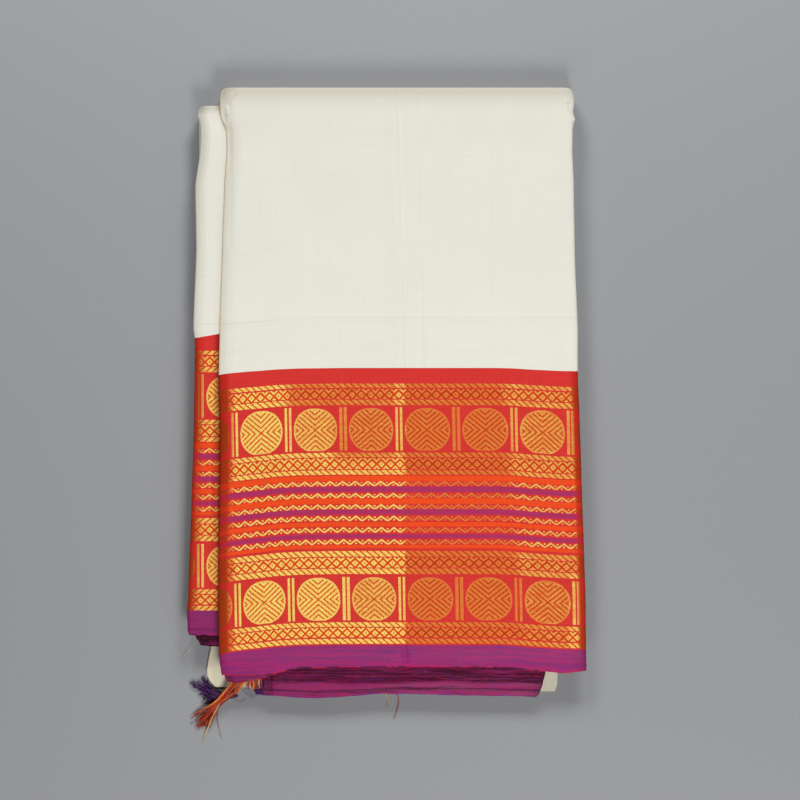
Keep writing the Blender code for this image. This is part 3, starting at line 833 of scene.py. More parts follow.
def zariSilk(name, paintedSheenOf):
    material, tree, shader = newMaterial(name)
    cloth = clothPlace(tree)
    rows = useGroup(zariGroup, {"Cloth": cloth})
    weave = useGroup(weaveGroup, {"Cloth": cloth, "Slubs": zariLook["slubs"]})
    near = painted(tree, "sideNear")
    stretched = field(tree, "Mapping", {"Vector": cloth, "Scale": zariLook["mottleScale"]})
    mottle = grainOver(stretched, 1.0, *zariLook["mottleDetail"], dimensions="3D").ramp(*zariLook["mottle"])
    # painted sheen: how lit the gold is painted, by place and random mottle, and none on the side rolls
    paintedSheen = (mottle + paintedSheenOf(tree)).math("MAXIMUM", 0.0).math("MINIMUM", 1.0) * (1.0 - near)
    stitch = field(tree, "VectorMath", {0: cloth, 1: zariLook["stitch"]}, operation="SNAP")
    thread = field(tree, "TexWhiteNoise", {"Vector": stitch}, noise_dimensions="2D")

    # lit and unlit copies of the warm red and of the gold, mixed by the painted sheen
    warm = blendColour(tree, paintedSheen, silk["unlitWarmRed"], silk["litWarmRed"])
    ground = blendColour(tree, rows["Warm"] * zariLook["warm"], stripedGround(tree, rows), warm)
    ground = darkened(tree, ground, weave["Tone"].ramp(*zariLook["tone"]))
    # painted shade on the side rolls, in redShade and goldShade
    ground = blendColour(tree, near * zariLook["rollShade"], ground, silk["redShade"])
    deep, shining = zariLook["deep"]
    gold = blendColour(tree, paintedSheen, silk["unlitGold"], silk["litGold"])
    gold = blendColour(tree, thread * (paintedSheen * shining + deep), gold, silk["goldDeep"])
    gold = blendColour(tree, near, gold, silk["goldShade"])
    base = blendColour(tree, rows["Gold"], ground, gold)
    # painted shade, as deep as the shade attribute says
    base = blendColour(tree, painted(tree, "shade"), base, silk["paintedShadeRed"])

    finishCloth(tree, shader, base, rows["Ridge"] + weave["Height"] * zariLook["weaveHeight"], zariLook)
    rough, onGold = zariLook["rough"]
    plug(shader.inputs["Roughness"], rows["Gold"] * onGold + rough)
    plug(shader.inputs["Metallic"], rows["Gold"] * zariLook["metal"])
    return material


purpleLook = {
    "slubs": 0.9, "tone": (0.75, 1.25, 0.92, 1.05),
    "drift": 3.0, "driftScale": 0.022,       # how far the ribs wander along the cloth
    "base": silk["purple"], "streak": silk["magenta"], "ribs": 0.34, "contrast": (0.35, 0.65),
    "violet": (0.52, 0.7, 0.0, 0.3), "specks": (0.66, 0.72), "flecks": 0.35,
    # streaks: how fine across and along the cloth, and their detail
    "ribStreaks": (0.012, 2.0), "violetStreaks": (0.045, 0.3, 3.0), "speckStreaks": (0.06, 0.7, 3.0),
    "brokenStreaks": (0.07, 0.02, 2.0), "broken": (0.42, 0.6),
    # where the cloth ends, and the colours of a band along its end: painted shade at the edge, broken by a second
    # colour
    "end": -22.3, "endFade": (0.7, 1.6), "endShare": 0.85,
    "endColour": colour(60, 14, 62), "endOther": colour(196, 26, 62),
    "ribHeight": 1.5, "bump": (0.4, 0.00015), "gloss": 0.2,
    "shader": {"Roughness": 0.46, "Sheen Weight": 0.04, "Sheen Roughness": 0.35, "Sheen Tint": silk["violet"]},
}
# purpleLeft, purpleInner and purpleLowest: their darker streaks are painted shade of fine crosswise folds;
# purpleLowest's violet end band is a painted sheen
purpleLooks = {
    "purpleSelvedge": {},
    "purpleUnder": {"end": 0.0, "endColour": colour(120, 20, 60)},
    "purpleLeft": {
        "base": colour(150, 42, 104), "streak": colour(100, 26, 70), "contrast": (0.5, 0.78),
        "end": -23.2, "endColour": colour(60, 14, 50),
    },
    "purpleInner": {
        "base": colour(152, 32, 96), "streak": colour(100, 20, 68), "ribs": 0.22, "contrast": (0.47, 0.72),
        "flecks": 0.9, "drift": 6.0, "end": 0.0, "endColour": colour(64, 10, 40), "endOther": colour(84, 14, 60),
    },
    "purpleLowest": {
        "base": colour(152, 34, 98), "streak": colour(100, 22, 70), "ribs": 0.2, "contrast": (0.5, 0.74),
        "flecks": 0.8, "drift": 6.0, "end": 0.0, "endColour": silk["violet"], "endOther": colour(150, 30, 96),
        "endShare": 0.7,
    },
    # dark copies: painted shade under the stretches above them, with lighter streaks painted where the layers' edges
    # catch the light
    "purpleLeftUnderShaded": {
        "base": colour(58, 10, 36), "streak": colour(140, 34, 92), "contrast": (0.42, 0.64), "flecks": 1.0,
        "drift": 9.0, "end": 0.0, "endColour": colour(38, 6, 18), "endOther": colour(130, 20, 56), "gloss": 0.08,
    },
    "purpleRecessShaded": {
        "base": colour(86, 13, 50), "streak": colour(150, 30, 92), "ribs": 0.24, "contrast": (0.34, 0.72),
        "flecks": 0.9, "drift": 6.0, "end": 0.0, "endColour": colour(54, 8, 36), "endOther": colour(110, 18, 52),
        "gloss": 0.08,
    },
}


def purpleSilk(name, look):
    # shot silk with fine crosswise ribs, violet where it turns, red flecks, and painted shade in a band along its end
    # and from its shade attribute
    material, tree, shader = newMaterial(name)
    cloth = clothPlace(tree)
    weave = useGroup(weaveGroup, {"Cloth": cloth, "Slubs": look["slubs"]})
    across, along = partsOf(cloth)[:2]
    drift = grainOver(across * look["driftScale"], 1.0, 1.0, dimensions="1D")
    drifted = drift * look["drift"] + along

    def streaksAt(wide, tall, detail):
        return grainOver(joined(across * wide, drifted * tall), 1.0, detail, 0.65)

    wide, detail = look["ribStreaks"]
    ribs = streaksAt(wide, look["ribs"], detail)
    base = blendColour(tree, ribs.ramp(*look["contrast"]), look["base"], look["streak"])
    base = darkened(tree, base, weave["Tone"].ramp(*look["tone"]))
    base = blendColour(tree, streaksAt(*look["violetStreaks"]).ramp(*look["violet"]), base, silk["violet"])
    specks = streaksAt(*look["speckStreaks"]).ramp(*look["specks"]) * look["flecks"]
    base = blendColour(tree, specks, base, silk["fleck"])
    endFrom, endTo = (look["end"] + fade for fade in look["endFade"])
    broken = streaksAt(*look["brokenStreaks"]).ramp(*look["broken"])
    endShades = blendColour(tree, broken, look["endColour"], look["endOther"])
    base = blendColour(tree, along.ramp(endFrom, endTo, look["endShare"], 0.0), base, endShades)
    # painted shade, as deep as the shade attribute says
    base = blendColour(tree, painted(tree, "shade"), base, silk["paintedShadePurple"])
    finishCloth(tree, shader, base, weave["Height"] + ribs * look["ribHeight"], look)
    plug(shader.inputs["Specular IOR Level"], look["gloss"])
    return material


hiddenFinish = {
    "slubs": 0.6, "tone": (0.75, 1.25, 0.93, 1.03), "bump": (0.35, 0.0001),
    "shader": {"Roughness": 0.5, "Specular IOR Level": 0.25, "Sheen Weight": 0.12},
}


def layeredSilk():
    # the hidden layers: white silk that passes into the red border and the purple selvedge
    material, tree, shader = newMaterial("layeredSilk")
    cloth = clothPlace(tree)
    v = partsOf(cloth)[1]
    rows = useGroup(zariGroup, {"Cloth": cloth})
    weave = useGroup(weaveGroup, {"Cloth": cloth, "Slubs": hiddenFinish["slubs"]})
    ground = blendColour(tree, rows["Gold"], stripedGround(tree, rows), silk["hiddenGold"])
    ground = blendColour(tree, v > zari["top"], ground, silk["white"])
    ground = blendColour(tree, v < 0.0, ground, silk["purple"])
    base = darkened(tree, ground, weave["Tone"].ramp(*hiddenFinish["tone"]))
    finishCloth(tree, shader, base, weave["Height"], hiddenFinish)
    return material


threadLook = {
    "shadeScale": 900.0, "shades": (0.3, 0.7), "plyScale": 4000.0,
    "tips": (-0.306, -0.292, 0.75, 0.0),      # painted shade: the orange tassel darkens towards its tips, leaving the upper strands lighter as if lit by their sheen
    "bump": (0.3, 0.00005), "shader": {"Roughness": 0.5, "Specular IOR Level": 0.35},
}
threadColours = (
    # name, dark, light, tips
    ("threadOrange", (216, 62, 8), (250, 116, 20), (160, 38, 20)),
    ("threadRed", (132, 18, 12), (190, 36, 18), (112, 20, 18)),
    ("threadRust", (110, 30, 24), (170, 60, 36), None),
    ("threadPurple", (42, 8, 40), (80, 24, 80), None),
    ("threadCream", (196, 186, 140), (226, 214, 170), None),
    ("threadBlue", (76, 24, 112), (112, 44, 150), None),
    ("threadPink", (176, 70, 66), (200, 96, 84), None),
    ("threadGold", (244, 150, 52), (255, 210, 112), (190, 84, 28)),
)


def threadSilk(name, dark, light, tips):
    material, tree, shader = newMaterial(name)
    place = objectPlace(tree)
    shade = grainOver(place, threadLook["shadeScale"], dimensions="3D").ramp(*threadLook["shades"])
    base = blendColour(tree, shade, colour(*dark), colour(*light))
    if tips:
        base = blendColour(tree, partsOf(place)[1].ramp(*threadLook["tips"]), base, colour(*tips))
    finishCloth(tree, shader, base, grainOver(place, threadLook["plyScale"], 1.0, dimensions="3D"), threadLook)
    return material


ivorySilk = whiteSilk("ivorySilk", silk["white"], False)
backSilk = whiteSilk("ivoryBack", silk["backWhite"], True)
frontBorderSilk = zariSilk("redZariFront", frontPaintedSheen)
leftBorderSilk = zariSilk("redZariLeft", leftPaintedSheen)
purpleSilks = {name: purpleSilk(name, {**purpleLook, **look}) for name, look in purpleLooks.items()}
hiddenSilk = layeredSilk()
threadSilks = [threadSilk(*row) for row in threadColours]

# Camera, light and floor

print("stage: camera, light and floor")

view = {"place": (0.013, 0.008, 3.0), "lens": 133.65, "sensor": 36.0}
cameraData = bpy.data.cameras.new("camera")
cameraData.lens = view["lens"]
cameraData.sensor_width = view["sensor"]
camera = bpy.data.objects.new("camera", cameraData)
camera.location = view["place"]
blenderScene.collection.objects.link(camera)
blenderScene.camera = camera
blenderScene.view_settings.view_transform = "Standard"

studio = {
    "world": 0.004, "distance": 2.2,
    # turned from the right, height over the floor (degrees), size, power
    "lights": (
        ("softboxTopRight", 75.0, 32.0, 0.6, 23.0),
        ("softboxTopLeft", 105.0, 32.0, 0.6, 22.0),
        ("softboxBottomRight", 285.0, 46.0, 0.7, 23.0),
        ("softboxBottomLeft", 255.0, 32.0, 0.6, 6.5),
        ("softboxRight", 320.0, 32.0, 0.6, 3.2),
    ),
    "floorColour": (159, 160, 163), "floorSize": 6.0, "floorDrop": 0.0002,
    "grainScale": 700.0, "grain": (0.2, 0.8, 0.95, 1.04),
    "floorShader": {"Roughness": 0.85, "Specular IOR Level": 0.1},
}
for name, turn, height, size, power in studio["lights"]:
    turn, height = math.radians(turn), math.radians(height)
    flat = math.cos(height)
    place = studio["distance"] * Vector((math.cos(turn) * flat, math.sin(turn) * flat, math.sin(height)))
    lamp = bpy.data.lights.new(name, "AREA")
    lamp.shape = "SQUARE"
    lamp.size = size
    lamp.energy = power
    lampObject = bpy.data.objects.new(name, lamp)
    lampObject.location = place
    lampObject.rotation_mode = "QUATERNION"
    lampObject.rotation_quaternion = (-place).to_track_quat("-Z", "Y")
    blenderScene.collection.objects.link(lampObject)
world = bpy.data.worlds.new("studio")
world.use_nodes = True
sky = world.node_tree.nodes["Background"].inputs
sky[0].default_value = (1.0, 1.0, 1.0, 1.0)
sky[1].default_value = studio["world"]
blenderScene.world = world


def makeFloor():
    bm = bmesh.new()
    bmesh.ops.create_grid(bm, x_segments=1, y_segments=1, size=studio["floorSize"] / 2)
    mesh = bpy.data.meshes.new("floor")
    bm.to_mesh(mesh)
    bm.free()
    floor = bpy.data.objects.new("floor", mesh)
    floor.location.z = -studio["floorDrop"]
    blenderScene.collection.objects.link(floor)
    material, tree, shader = newMaterial("floorPaper")
    grain = grainOver(objectPlace(tree), studio["grainScale"], dimensions="3D").ramp(*studio["grain"])
    plug(shader.inputs["Base Color"], darkened(tree, colour(*studio["floorColour"]), grain))
    for socket, value in studio["floorShader"].items():
        plug(shader.inputs[socket], value)
    mesh.materials.append(material)


makeFloor()

# Front stretch

print("stage: front stretch")


creaseLook = {"onLine": 0.1, "reach": 3.0}      # near enough to be on the line; where it ends, in widths


def creaseAt(creases, x, y):
    total = 0.0
    for points, width, height in creases:
        nearest = 1e9
        for (ax, ay), (bx, by) in zip(points, points[1:]):
            dx, dy = bx - ax, by - ay
            part = min(max(((x - ax) * dx + (y - ay) * dy) / (dx * dx + dy * dy), 0.0), 1.0)
            nearest = min(nearest, math.hypot(x - ax - part * dx, y - ay - part * dy))
            if nearest < creaseLook["onLine"]:
                break
        if nearest < creaseLook["reach"] * width:
            total += height * math.exp(-(nearest / width) ** 2)
    return total


def reliefOf(swells, creases):
    # soft swells and creases of a stretch's upper side; swells: height, width, length, seed
    def relief(part, x, y, station):
        if station[0] == "back" or part.startswith(("under", "low")):
            return 0.0
        swell = sum(high * ripple(x / wide, y / long, seed) for high, wide, long, seed in swells)
        if station[0] == "fold":
            swell *= max(math.sin(station[1]), 0.0)
        return swell + creaseAt(creases, x, y)
    return relief


def clothPattern(start, zero, mirrored=False, skew=None):
    # the cloth's own x and y: start is where the first disc begins, zero where the selvedge does
    def pattern(across, lengthways):
        v = lengthways - zero
        u = across - start
        if skew:
            u -= skew["shear"] * (v - skew["middle"])
            u += rowAt(skew["warp"], across) + rowAt(skew["lowWarp"], across) * ease(v, *skew["low"])
        return (-u if mirrored else u, v)
    return pattern


frontLook = {
    "out": 15.0, "half": 1.8, "roll": 7.5, "wall": 0.5, "counts": (230, 14, 8), "closer": 0.35,
    "bottom": -259.9, "selvedgeTop": -237.6, "join": 40.0, "fine": 248.0,
    "step": 3.4, "fineStep": 1.5, "foldSteps": 24, "foldEnd": 0.3,
    "discStart": -126.0,
    "skew": {
        "shear": -0.0178, "middle": 215.0,
        "warp": (
            (-162, -2.4), (-150, -1.6), (-130, 0.0), (-72, 2.3), (-16, 2.6), (39.6, 3.2), (98.4, 0.7), (155, 0.0),
        ),
        "lowWarp": ((98, 0.0), (140, -1.8), (182, -2.9)), "low": (150.0, 50.0),      # more, in the lower rows
    },
    "edgeShift": (
        (-166, 1.3), (-150, -1.9), (-137, -3.4), (-115, -4.7), (-97, -1.3), (-87, -0.4), (-54, -0.2), (93, 0.0),
        (159, -1.1), (176, -1.8), (200, 1.1),
    ),
    "swells": ((0.7, 95, 130, 4.2), (0.25, 30, 60, 9.1)),
    "creases": (
        # points along the crease, width, height: troughs are below zero
        (((-152, 316), (-156, 311), (-160, 304), (-162, 296), (-162, 288)), 2.2, -1.3),
        (((-160, 300), (-160, 295)), 1.6, 1.2),
        (((16.0, -236), (19.0, -253)), 1.6, -1.9),
        (((-158, 304), (-157.5, 292), (-156.5, 268), (-156, 230), (-157, 160)), 1.8, -0.55),
        (((182, 304), (184, 297), (187, 291)), 1.4, -1.1),
        (((178, 308), (180, 296), (184, 284), (185, 262)), 2.2, 0.6),
        (((16, 314), (18, 200), (15, 60), (18, -40), (18, -255)), 3.0, -0.36),
        (((30, 314), (31, 180), (28, 45)), 3.6, 0.28),
        (((-73, 312), (-74, 190), (-72, 45)), 4.0, -0.14),
        (((-166, 88), (-60, 90), (60, 91), (186, 88)), 2.8, 0.26),
        (((-166, 52), (0, 55), (188, 52)), 4.5, -0.24),
    ),
}
frontCloth = {
    **frontLook, "form": front,
    "relief": reliefOf(frontLook["swells"], frontLook["creases"]),
    "pattern": clothPattern(frontLook["discStart"], frontLook["selvedgeTop"], False, frontLook["skew"]),
}
frontSelvedge = makeStretch(
    "frontSelvedge", frontCloth,
    legStations("front", frontLook["bottom"], frontLook["selvedgeTop"], frontLook["fineStep"]),
    purpleSilks["purpleSelvedge"], "front_selvedge", "purple_selvedge",
    thinEnd=(-232.0, frontLook["bottom"], 0.9), ends=(frontLook["edgeShift"], 22.0, 0.55), seed=3,
    shade=paintedShadeLooks["frontSelvedge"],
)
frontBorder = makeStretch(
    "frontBorder", frontCloth,
    legStations("front", frontLook["selvedgeTop"], frontLook["join"], frontLook["step"]),
    frontBorderSilk, "front_border", "red_zari_border", sideFrom=(7.4, 4.0), shade=paintedShadeLooks["frontBorder"],
)
foldEnd = stack["foldY"] - frontLook["foldEnd"]
frontBody = makeStretch(
    "frontBody", frontCloth,
    legStations("front", frontLook["join"], frontLook["fine"], frontLook["step"])[:-1]
    + legStations("front", frontLook["fine"], stack["foldY"], frontLook["fineStep"])
    + foldStations(frontLook["foldSteps"]) + [("back", foldEnd)],
    ivorySilk, "front_body", "ivory_silk", sideFrom=whiteSides, shade=paintedShadeLooks["front"],
)
backBody = makeStretch(
    "backBody", frontCloth,
    legStations("back", front["backEdges"][0][0], foldEnd, 6.0)[::-1],
    backSilk, "back_body", "ivory_silk", counts=(48, 12, 5), roll=4.0, closer=0.0,
    thinEnd=(-250.0, -286.0, 0.9), endLeg="back", sideFrom=whiteSides,
)

# Left stretch

print("stage: left stretch")

leftLook = {
    "out": 11.05, "half": 1.8, "roll": 5.0, "wall": 0.5, "counts": (56, 12, 6),
    "bottom": -228.0, "selvedgeTop": -203.0, "join": left["joinSlope"]["at"],
    "step": 3.6, "fineStep": 1.6, "backStep": 7.0, "foldSteps": 18,
    "discStart": -158.5, "patternZero": -204.8,
}
leftCloth = {
    **leftLook, "form": left, "relief": reliefOf(((0.35, 40, 70, 21.0),), ()),
    "pattern": clothPattern(leftLook["discStart"], leftLook["patternZero"], True),
}
leftSelvedge = makeStretch(
    "leftSelvedge", leftCloth,
    legStations("front", leftLook["bottom"], leftLook["selvedgeTop"], leftLook["fineStep"]),
    purpleSilks["purpleLeft"], "left_selvedge", "purple_selvedge",
    thinEnd=(-206.0, leftLook["bottom"], 1.0), ends=(((0, 0.0),), 10.0, 0.5), seed=8,
    shade=paintedShadeLooks["leftSelvedge"],
)
leftBorder = makeStretch(
    "leftBorder", leftCloth,
    legStations("front", leftLook["selvedgeTop"], leftLook["join"], leftLook["step"]),
    leftBorderSilk, "left_border", "red_zari_border", sideFrom=(3.1, 2.0), shade=paintedShadeLooks["leftBorder"],
)
leftBody = makeStretch(
    "leftBody", leftCloth,
    legStations("front", leftLook["join"], stack["foldY"], leftLook["step"]) + foldStations(leftLook["foldSteps"])
    + legStations("back", left["backEdges"][0][0], stack["foldY"], leftLook["backStep"])[::-1],
    ivorySilk, "left_body", "ivory_silk", sideFrom=(-3.6, -6.0), shade=paintedShadeLooks["left"],
)

# Hidden layers

print("stage: hidden layers")

hiddenLook = {
    "out": 7.1, "in": 0.55, "gap": 0.08, "wall": 0.28, "wave": 2.2, "roll": 1.6, "counts": (14, 7, 4),
    "step": 7.0, "foldSteps": 14, "endReach": 60.0,
    # from the top: how far each pair is drawn in, where its pattern begins in x and y, seed
    "pairs": (
        (0.3, -150.0, -239.0, 60), (2.4, -133.0, -234.0, 67), (0.8, -116.0, -236.0, 74),
        (2.9, -99.0, -238.0, 81), (1.2, -82.0, -233.0, 88),
    ),
    # the free ends lie further up at the left
    "end": -240.0, "leftRise": 24.0, "stepX": (-130.0, -120.0), "rowsX": (-200, -130, -127, -123, -120, 200),
}


def hiddenRise(x):
    stepFrom, stepTo = hiddenLook["stepX"]
    return hiddenLook["leftRise"] * (1.0 - min(max((x - stepFrom) / (stepTo - stepFrom), 0.0), 1.0))


def makeHiddenLayers():
    bm = bmesh.new()
    depth = (hiddenLook["out"] - hiddenLook["in"]) / len(hiddenLook["pairs"])
    ends = ([(x, hiddenRise(x)) for x in hiddenLook["rowsX"]], hiddenLook["endReach"], 0.0)
    stations = legStations("front", hiddenLook["end"], stack["foldY"], hiddenLook["step"])
    stations += foldStations(hiddenLook["foldSteps"])
    stations += legStations("back", inner["backEdges"][0][0], stack["foldY"], hiddenLook["step"])[::-1]
    for k, (inset, start, zero, seed) in enumerate(hiddenLook["pairs"]):
        addPair(bm, {
            **hiddenLook, "form": inner, "stations": stations, "ends": ends, "inset": inset, "seed": seed,
            "out": hiddenLook["out"] - k * depth, "half": (depth - hiddenLook["gap"]) / 2,
            "pattern": clothPattern(start, zero, k % 2 == 0),
        })
    return makePiece("hiddenLayers", bm, hiddenSilk, "hidden_layers", hiddenLook["wall"])


hiddenLayers = makeHiddenLayers()

# Purple edges

print("stage: purple edges")

edgeLook = {
    "half": 0.7, "roll": 2.2, "wall": 0.42, "closer": 0.75, "wave": 0.3, "step": 1.3, "endReach": 22.0,
    "topStep": 3.2, "underStep": 14.0, "fewest": (16, 6), "turnCount": 4, "patternStep": 37.0,
    "seeds": range(30, 65, 5),
    "foldX": -117.5, "foldWide": 1.5, "foldDepth": 0.9,      # the crosswise fold near the inner layers' left end
    # the end's fine folds run crosswise, and the last of them dips
    "dip": 0.5, "dipReach": 7.0, "fineReach": 8.0, "fine": ((0.28, 70, 2.6, 0), (0.3, 34, 9.0, 3)),
}
edges = {
    # y from and to, out; edges: y, left, right; ends: x, how far the end lies out of line there
    "frontUnderSelvedge": {
        "node": "front_under_selvedge", "material": "purpleUnder", "y": (-274.5, -228.4), "out": 8.95, "half": 0.72,
        "edges": ((-275, -160.5, 186.0), (-272, -162.4, 186.0), (-262, -164.6, 186.0), (-228, -165.0, 186.0)),
        "ends": (
            (-165, 1.2), (-158, -0.8), (-150, -1.8), (-139, 0.4), (-128, 2.2), (-119, 4.6), (-108, 8.6),
            (-97, 12.0), (-54, 16.5), (93, 18.5), (150, 16.0), (186, 15.5),
        ),
        "ragged": 0.5,
    },
    "innerSelvedge1": {
        "node": "inner_selvedge_1", "material": "purpleRecessShaded", "y": (-268.0, -240.4), "out": 7.10,
        "edges": ((-270, -121.0, 158.0), (-262, -122.0, 159.6), (-240, -122.0, 160.0)),
        "ends": ((-122, 1.5), (-60, 0.6), (20, -0.5), (90, 0.4), (160, -0.8)), "ragged": 0.9,
    },
    "innerSelvedge2": {
        "node": "inner_selvedge_2", "material": "purpleRecessShaded", "y": (-274.5, -240.4), "out": 5.30,
        "edges": ((-276, -121.5, 155.5), (-268, -123.5, 158.6), (-240, -123.5, 159.5)),
        "ends": ((-124, 1.0), (-70, -0.5), (-20, -1.2), (60, 0.6), (110, -0.2), (160, -0.8)), "ragged": 0.9,
    },
    "innerSelvedge3": {
        "node": "inner_selvedge_3", "material": "purpleInner", "y": (-283.2, -240.4), "out": 3.50,
        "edges": ((-284.5, -122.0, 152.5), (-280, -124.5, 155.5), (-268, -124.5, 158.5), (-240, -124.5, 159.0)),
        "ends": ((-125, -0.6), (-75, -2.2), (-30, -1.0), (20, 1.2), (90, 0.4), (155, -1.2)), "ragged": 0.8,
    },
    "innerSelvedge4": {
        "node": "inner_selvedge_4", "material": "purpleLowest", "y": (-290.0, -240.4), "out": 1.70,
        "edges": (
            (-291.5, -122.5, 148.0), (-287, -125.5, 153.0), (-278, -125.5, 156.5), (-268, -125.5, 158.0),
            (-240, -125.5, 158.0),
        ),
        "ends": ((-126, 1.2), (-100, -0.6), (-72, -2.2), (-39, -0.4), (-8, 2.6), (93, 0.6), (150, -0.6)),
        "ragged": 0.7,
    },
    "leftUnderSelvedge1": {
        "node": "left_under_selvedge_1", "material": "purpleLeftUnderShaded", "y": (-234.0, -216.4), "out": 7.10,
        "edges": ((-234, -190.8, -131.0), (-230, -192.0, -131.0), (-216, -193.0, -131.0)),
        "ends": ((-193, 0.8), (-175, 0.0), (-131, 0.0)), "ragged": 0.7,
    },
    "leftUnderSelvedge2": {
        "node": "left_under_selvedge_2", "material": "purpleLeftUnderShaded", "y": (-239.3, -216.4), "out": 5.30,
        "edges": ((-239.5, -187.5, -131.0), (-234, -190.0, -131.0), (-216, -193.0, -131.0)),
        "ends": ((-190, 1.0), (-180, 0.0), (-131, -0.4)), "ragged": 0.7,
    },
}


def makeEdge(name, look, seed):
    look = {**edgeLook, **look}
    end, start = look["y"]

    def relief(part, x, y, station):
        fold = look["foldDepth"] * math.exp(-((x - look["foldX"]) / look["foldWide"]) ** 2)
        fine = sum(high * ripple(x / wide, y / long, seed + shift) for high, wide, long, shift in look["fine"])
        dip = look["dip"] * ease((end + look["dipReach"] - y) / look["dipReach"])
        return fine * ease((start - y) / look["fineReach"]) - dip - fold

    wide = look["edges"][0][2] - look["edges"][0][1]
    steps = (look["topStep"], look["underStep"])
    counts = [max(least, round(wide / step)) for least, step in zip(look["fewest"], steps)]
    look.update(
        form=inner, counts=(*counts, look["turnCount"]), seed=seed, relief=relief, shade=paintedShadeLooks["edges"],
        ends=(look["ends"], look["endReach"], look["ragged"]), pattern=clothPattern(look["patternStep"] * seed, end),
    )
    stations = legStations("front", end, start, look["step"])
    return makeStretch(name, look, stations, purpleSilks[look["material"]], look["node"], "purple_edges")


edgePieces = {name: makeEdge(name, look, seed) for (name, look), seed in zip(edges.items(), edgeLook["seeds"])}

# Tassels and loose threads

print("stage: tassels")

tuftLook = {
    # thread radius; bundles: count, threads by their place in threadColours, ((x, y, z), spread) along the way,
    # tips (x, y, z), their spread
    "tasselOrange": {
        "node": "tassel_orange", "slot": "orange_threads", "radius": 0.5,
        "bundles": (
            (
                72, (0, 7, 1, 0, 1, 0, 2),
                (((-149, -271, 13.0), 3.0), ((-160, -283.5, 10.5), 3.0), ((-168.6, -295.0, 6.5), 2.8)),
                (
                    (-193, -308.6, 1.2), (-196.5, -313, 1.2), (-190.7, -321, 1.0), (-186.4, -319, 1.0),
                    (-179.9, -321, 1.0), (-182, -323, 1.0), (-188, -314, 1.4), (-176, -312, 1.8),
                    (-191, -317, 1.2), (-185, -310, 2.4),
                ), 3.2,
            ),
            (
                40, (0, 7, 1, 0, 2),
                (((-154, -286.5, 8.0), 2.0), ((-161.5, -292.0, 6.4), 2.0), ((-167.6, -297.2, 5.2), 2.0)),
                ((-181, -316, 1.2), (-178, -318, 1.2), (-185, -321, 1.0), (-174.5, -312, 1.4), (-189, -318, 1.0)), 2.4,
            ),
        ),
    },
    "tasselPurple": {
        "node": "tassel_purple", "slot": "purple_threads", "radius": 0.36,
        "bundles": (
            (
                92, (3, 3, 3, 5, 3),
                (((-156.5, -291.0, 3.6), 1.5), ((-166.6, -289.8, 4.0), 3.0), ((-175.0, -288.6, 4.0), 5.4)),
                (
                    (-198, -276.7, 1.3), (-186.4, -272, 1.3), (-191.5, -275.5, 1.4), (-182.5, -275, 1.6),
                    (-188.3, -288.8, 1.3), (-183.9, -293.5, 1.3), (-187.5, -296.0, 1.3), (-195, -281, 1.3),
                    (-180, -281, 2.0), (-184, -286, 2.2), (-181, -290, 2.4), (-190, -284, 1.6),
                ), 2.1,
            ),
            (
                56, (3, 3, 5),
                (((-168.0, -289.6, 4.2), 3.2), ((-174.0, -289.4, 4.4), 4.6), ((-178.0, -289.4, 3.6), 4.6)),
                ((-182, -285, 2.4), (-183, -291, 2.2), (-180, -296, 1.6), (-185, -283, 1.8), (-178, -294, 2.2)), 2.6,
            ),
        ),
    },
    "tasselShort": {
        "node": "tassel_short", "slot": "orange_threads", "radius": 0.46,
        "bundles": (
            (
                48, (0, 7, 1, 0, 2),
                (((-142, -271, 12.0), 2.6), ((-147.5, -281.0, 9.2), 2.4), ((-153.0, -287.0, 7.0), 2.0)),
                ((-157, -290.5, 4.5), (-155, -291.0, 4.5), (-158, -290.0, 4.2)), 0.9,
            ),
            (
                30, (5, 3),
                (((-151.5, -290.0, 5.0), 1.5), ((-154.5, -291.5, 5.0), 1.8), ((-158.0, -292.0, 4.6), 1.7)),
                ((-162, -291.2, 4.0), (-161, -293.0, 3.8)), 1.0,
            ),
        ),
    },
}
strandLook = {
    "lowest": 0.5, "lift": 0.6,               # how low a strand may lie, how flat its bundle is
    "radii": (0.6, 1.35), "thin": 0.5,        # spread of the radius, and what is left of it at the tip
    "loose": 0.3, "tipFlat": (1, 1, 0.2), "tipLoose": 0.7,
    # the strand runs on past the neck, leans to its tip there, and bends on its way to it
    "onward": (3.0, 6.0), "lean": (0.4, 0.6), "bendAt": 0.55, "bendLoose": 1.2,
}


def scatter(size):
    # an even spread inside a ball
    while True:
        offset = Vector((random.uniform(-1, 1), random.uniform(-1, 1), random.uniform(-1, 1)))
        if offset.length <= 1.0:
            return offset * size


def addStrand(curve, points, radius, thread, thin):
    strand = curve.splines.new("NURBS")
    strand.points.add(len(points) - 1)
    for k, place in enumerate(points):
        strand.points[k].co = (*(place * mm), 1.0)
        strand.points[k].radius = radius * (1.0 - (1.0 - thin) * k / (len(points) - 1))
    strand.order_u = 4
    strand.use_endpoint_u = True
    strand.resolution_u = 3
    strand.material_index = thread


def newStrands(name):
    curve = bpy.data.curves.new(name, "CURVE")
    curve.dimensions = "3D"
    curve.bevel_depth = mm
    curve.bevel_resolution = 1
    curve.use_fill_caps = True
    for thread in threadSilks:
        curve.materials.append(thread)
    return curve


def strandPiece(name, curve, nodes):
    drawn = bpy.data.objects.new(name + "Curve", curve)
    blenderScene.collection.objects.link(drawn)
    bpy.context.view_layer.update()
    mesh = bpy.data.meshes.new_from_object(drawn.evaluated_get(bpy.context.evaluated_depsgraph_get()))
    bpy.data.objects.remove(drawn)
    mesh.name = name
    return placePiece(bpy.data.objects.new(name, mesh), nodes)


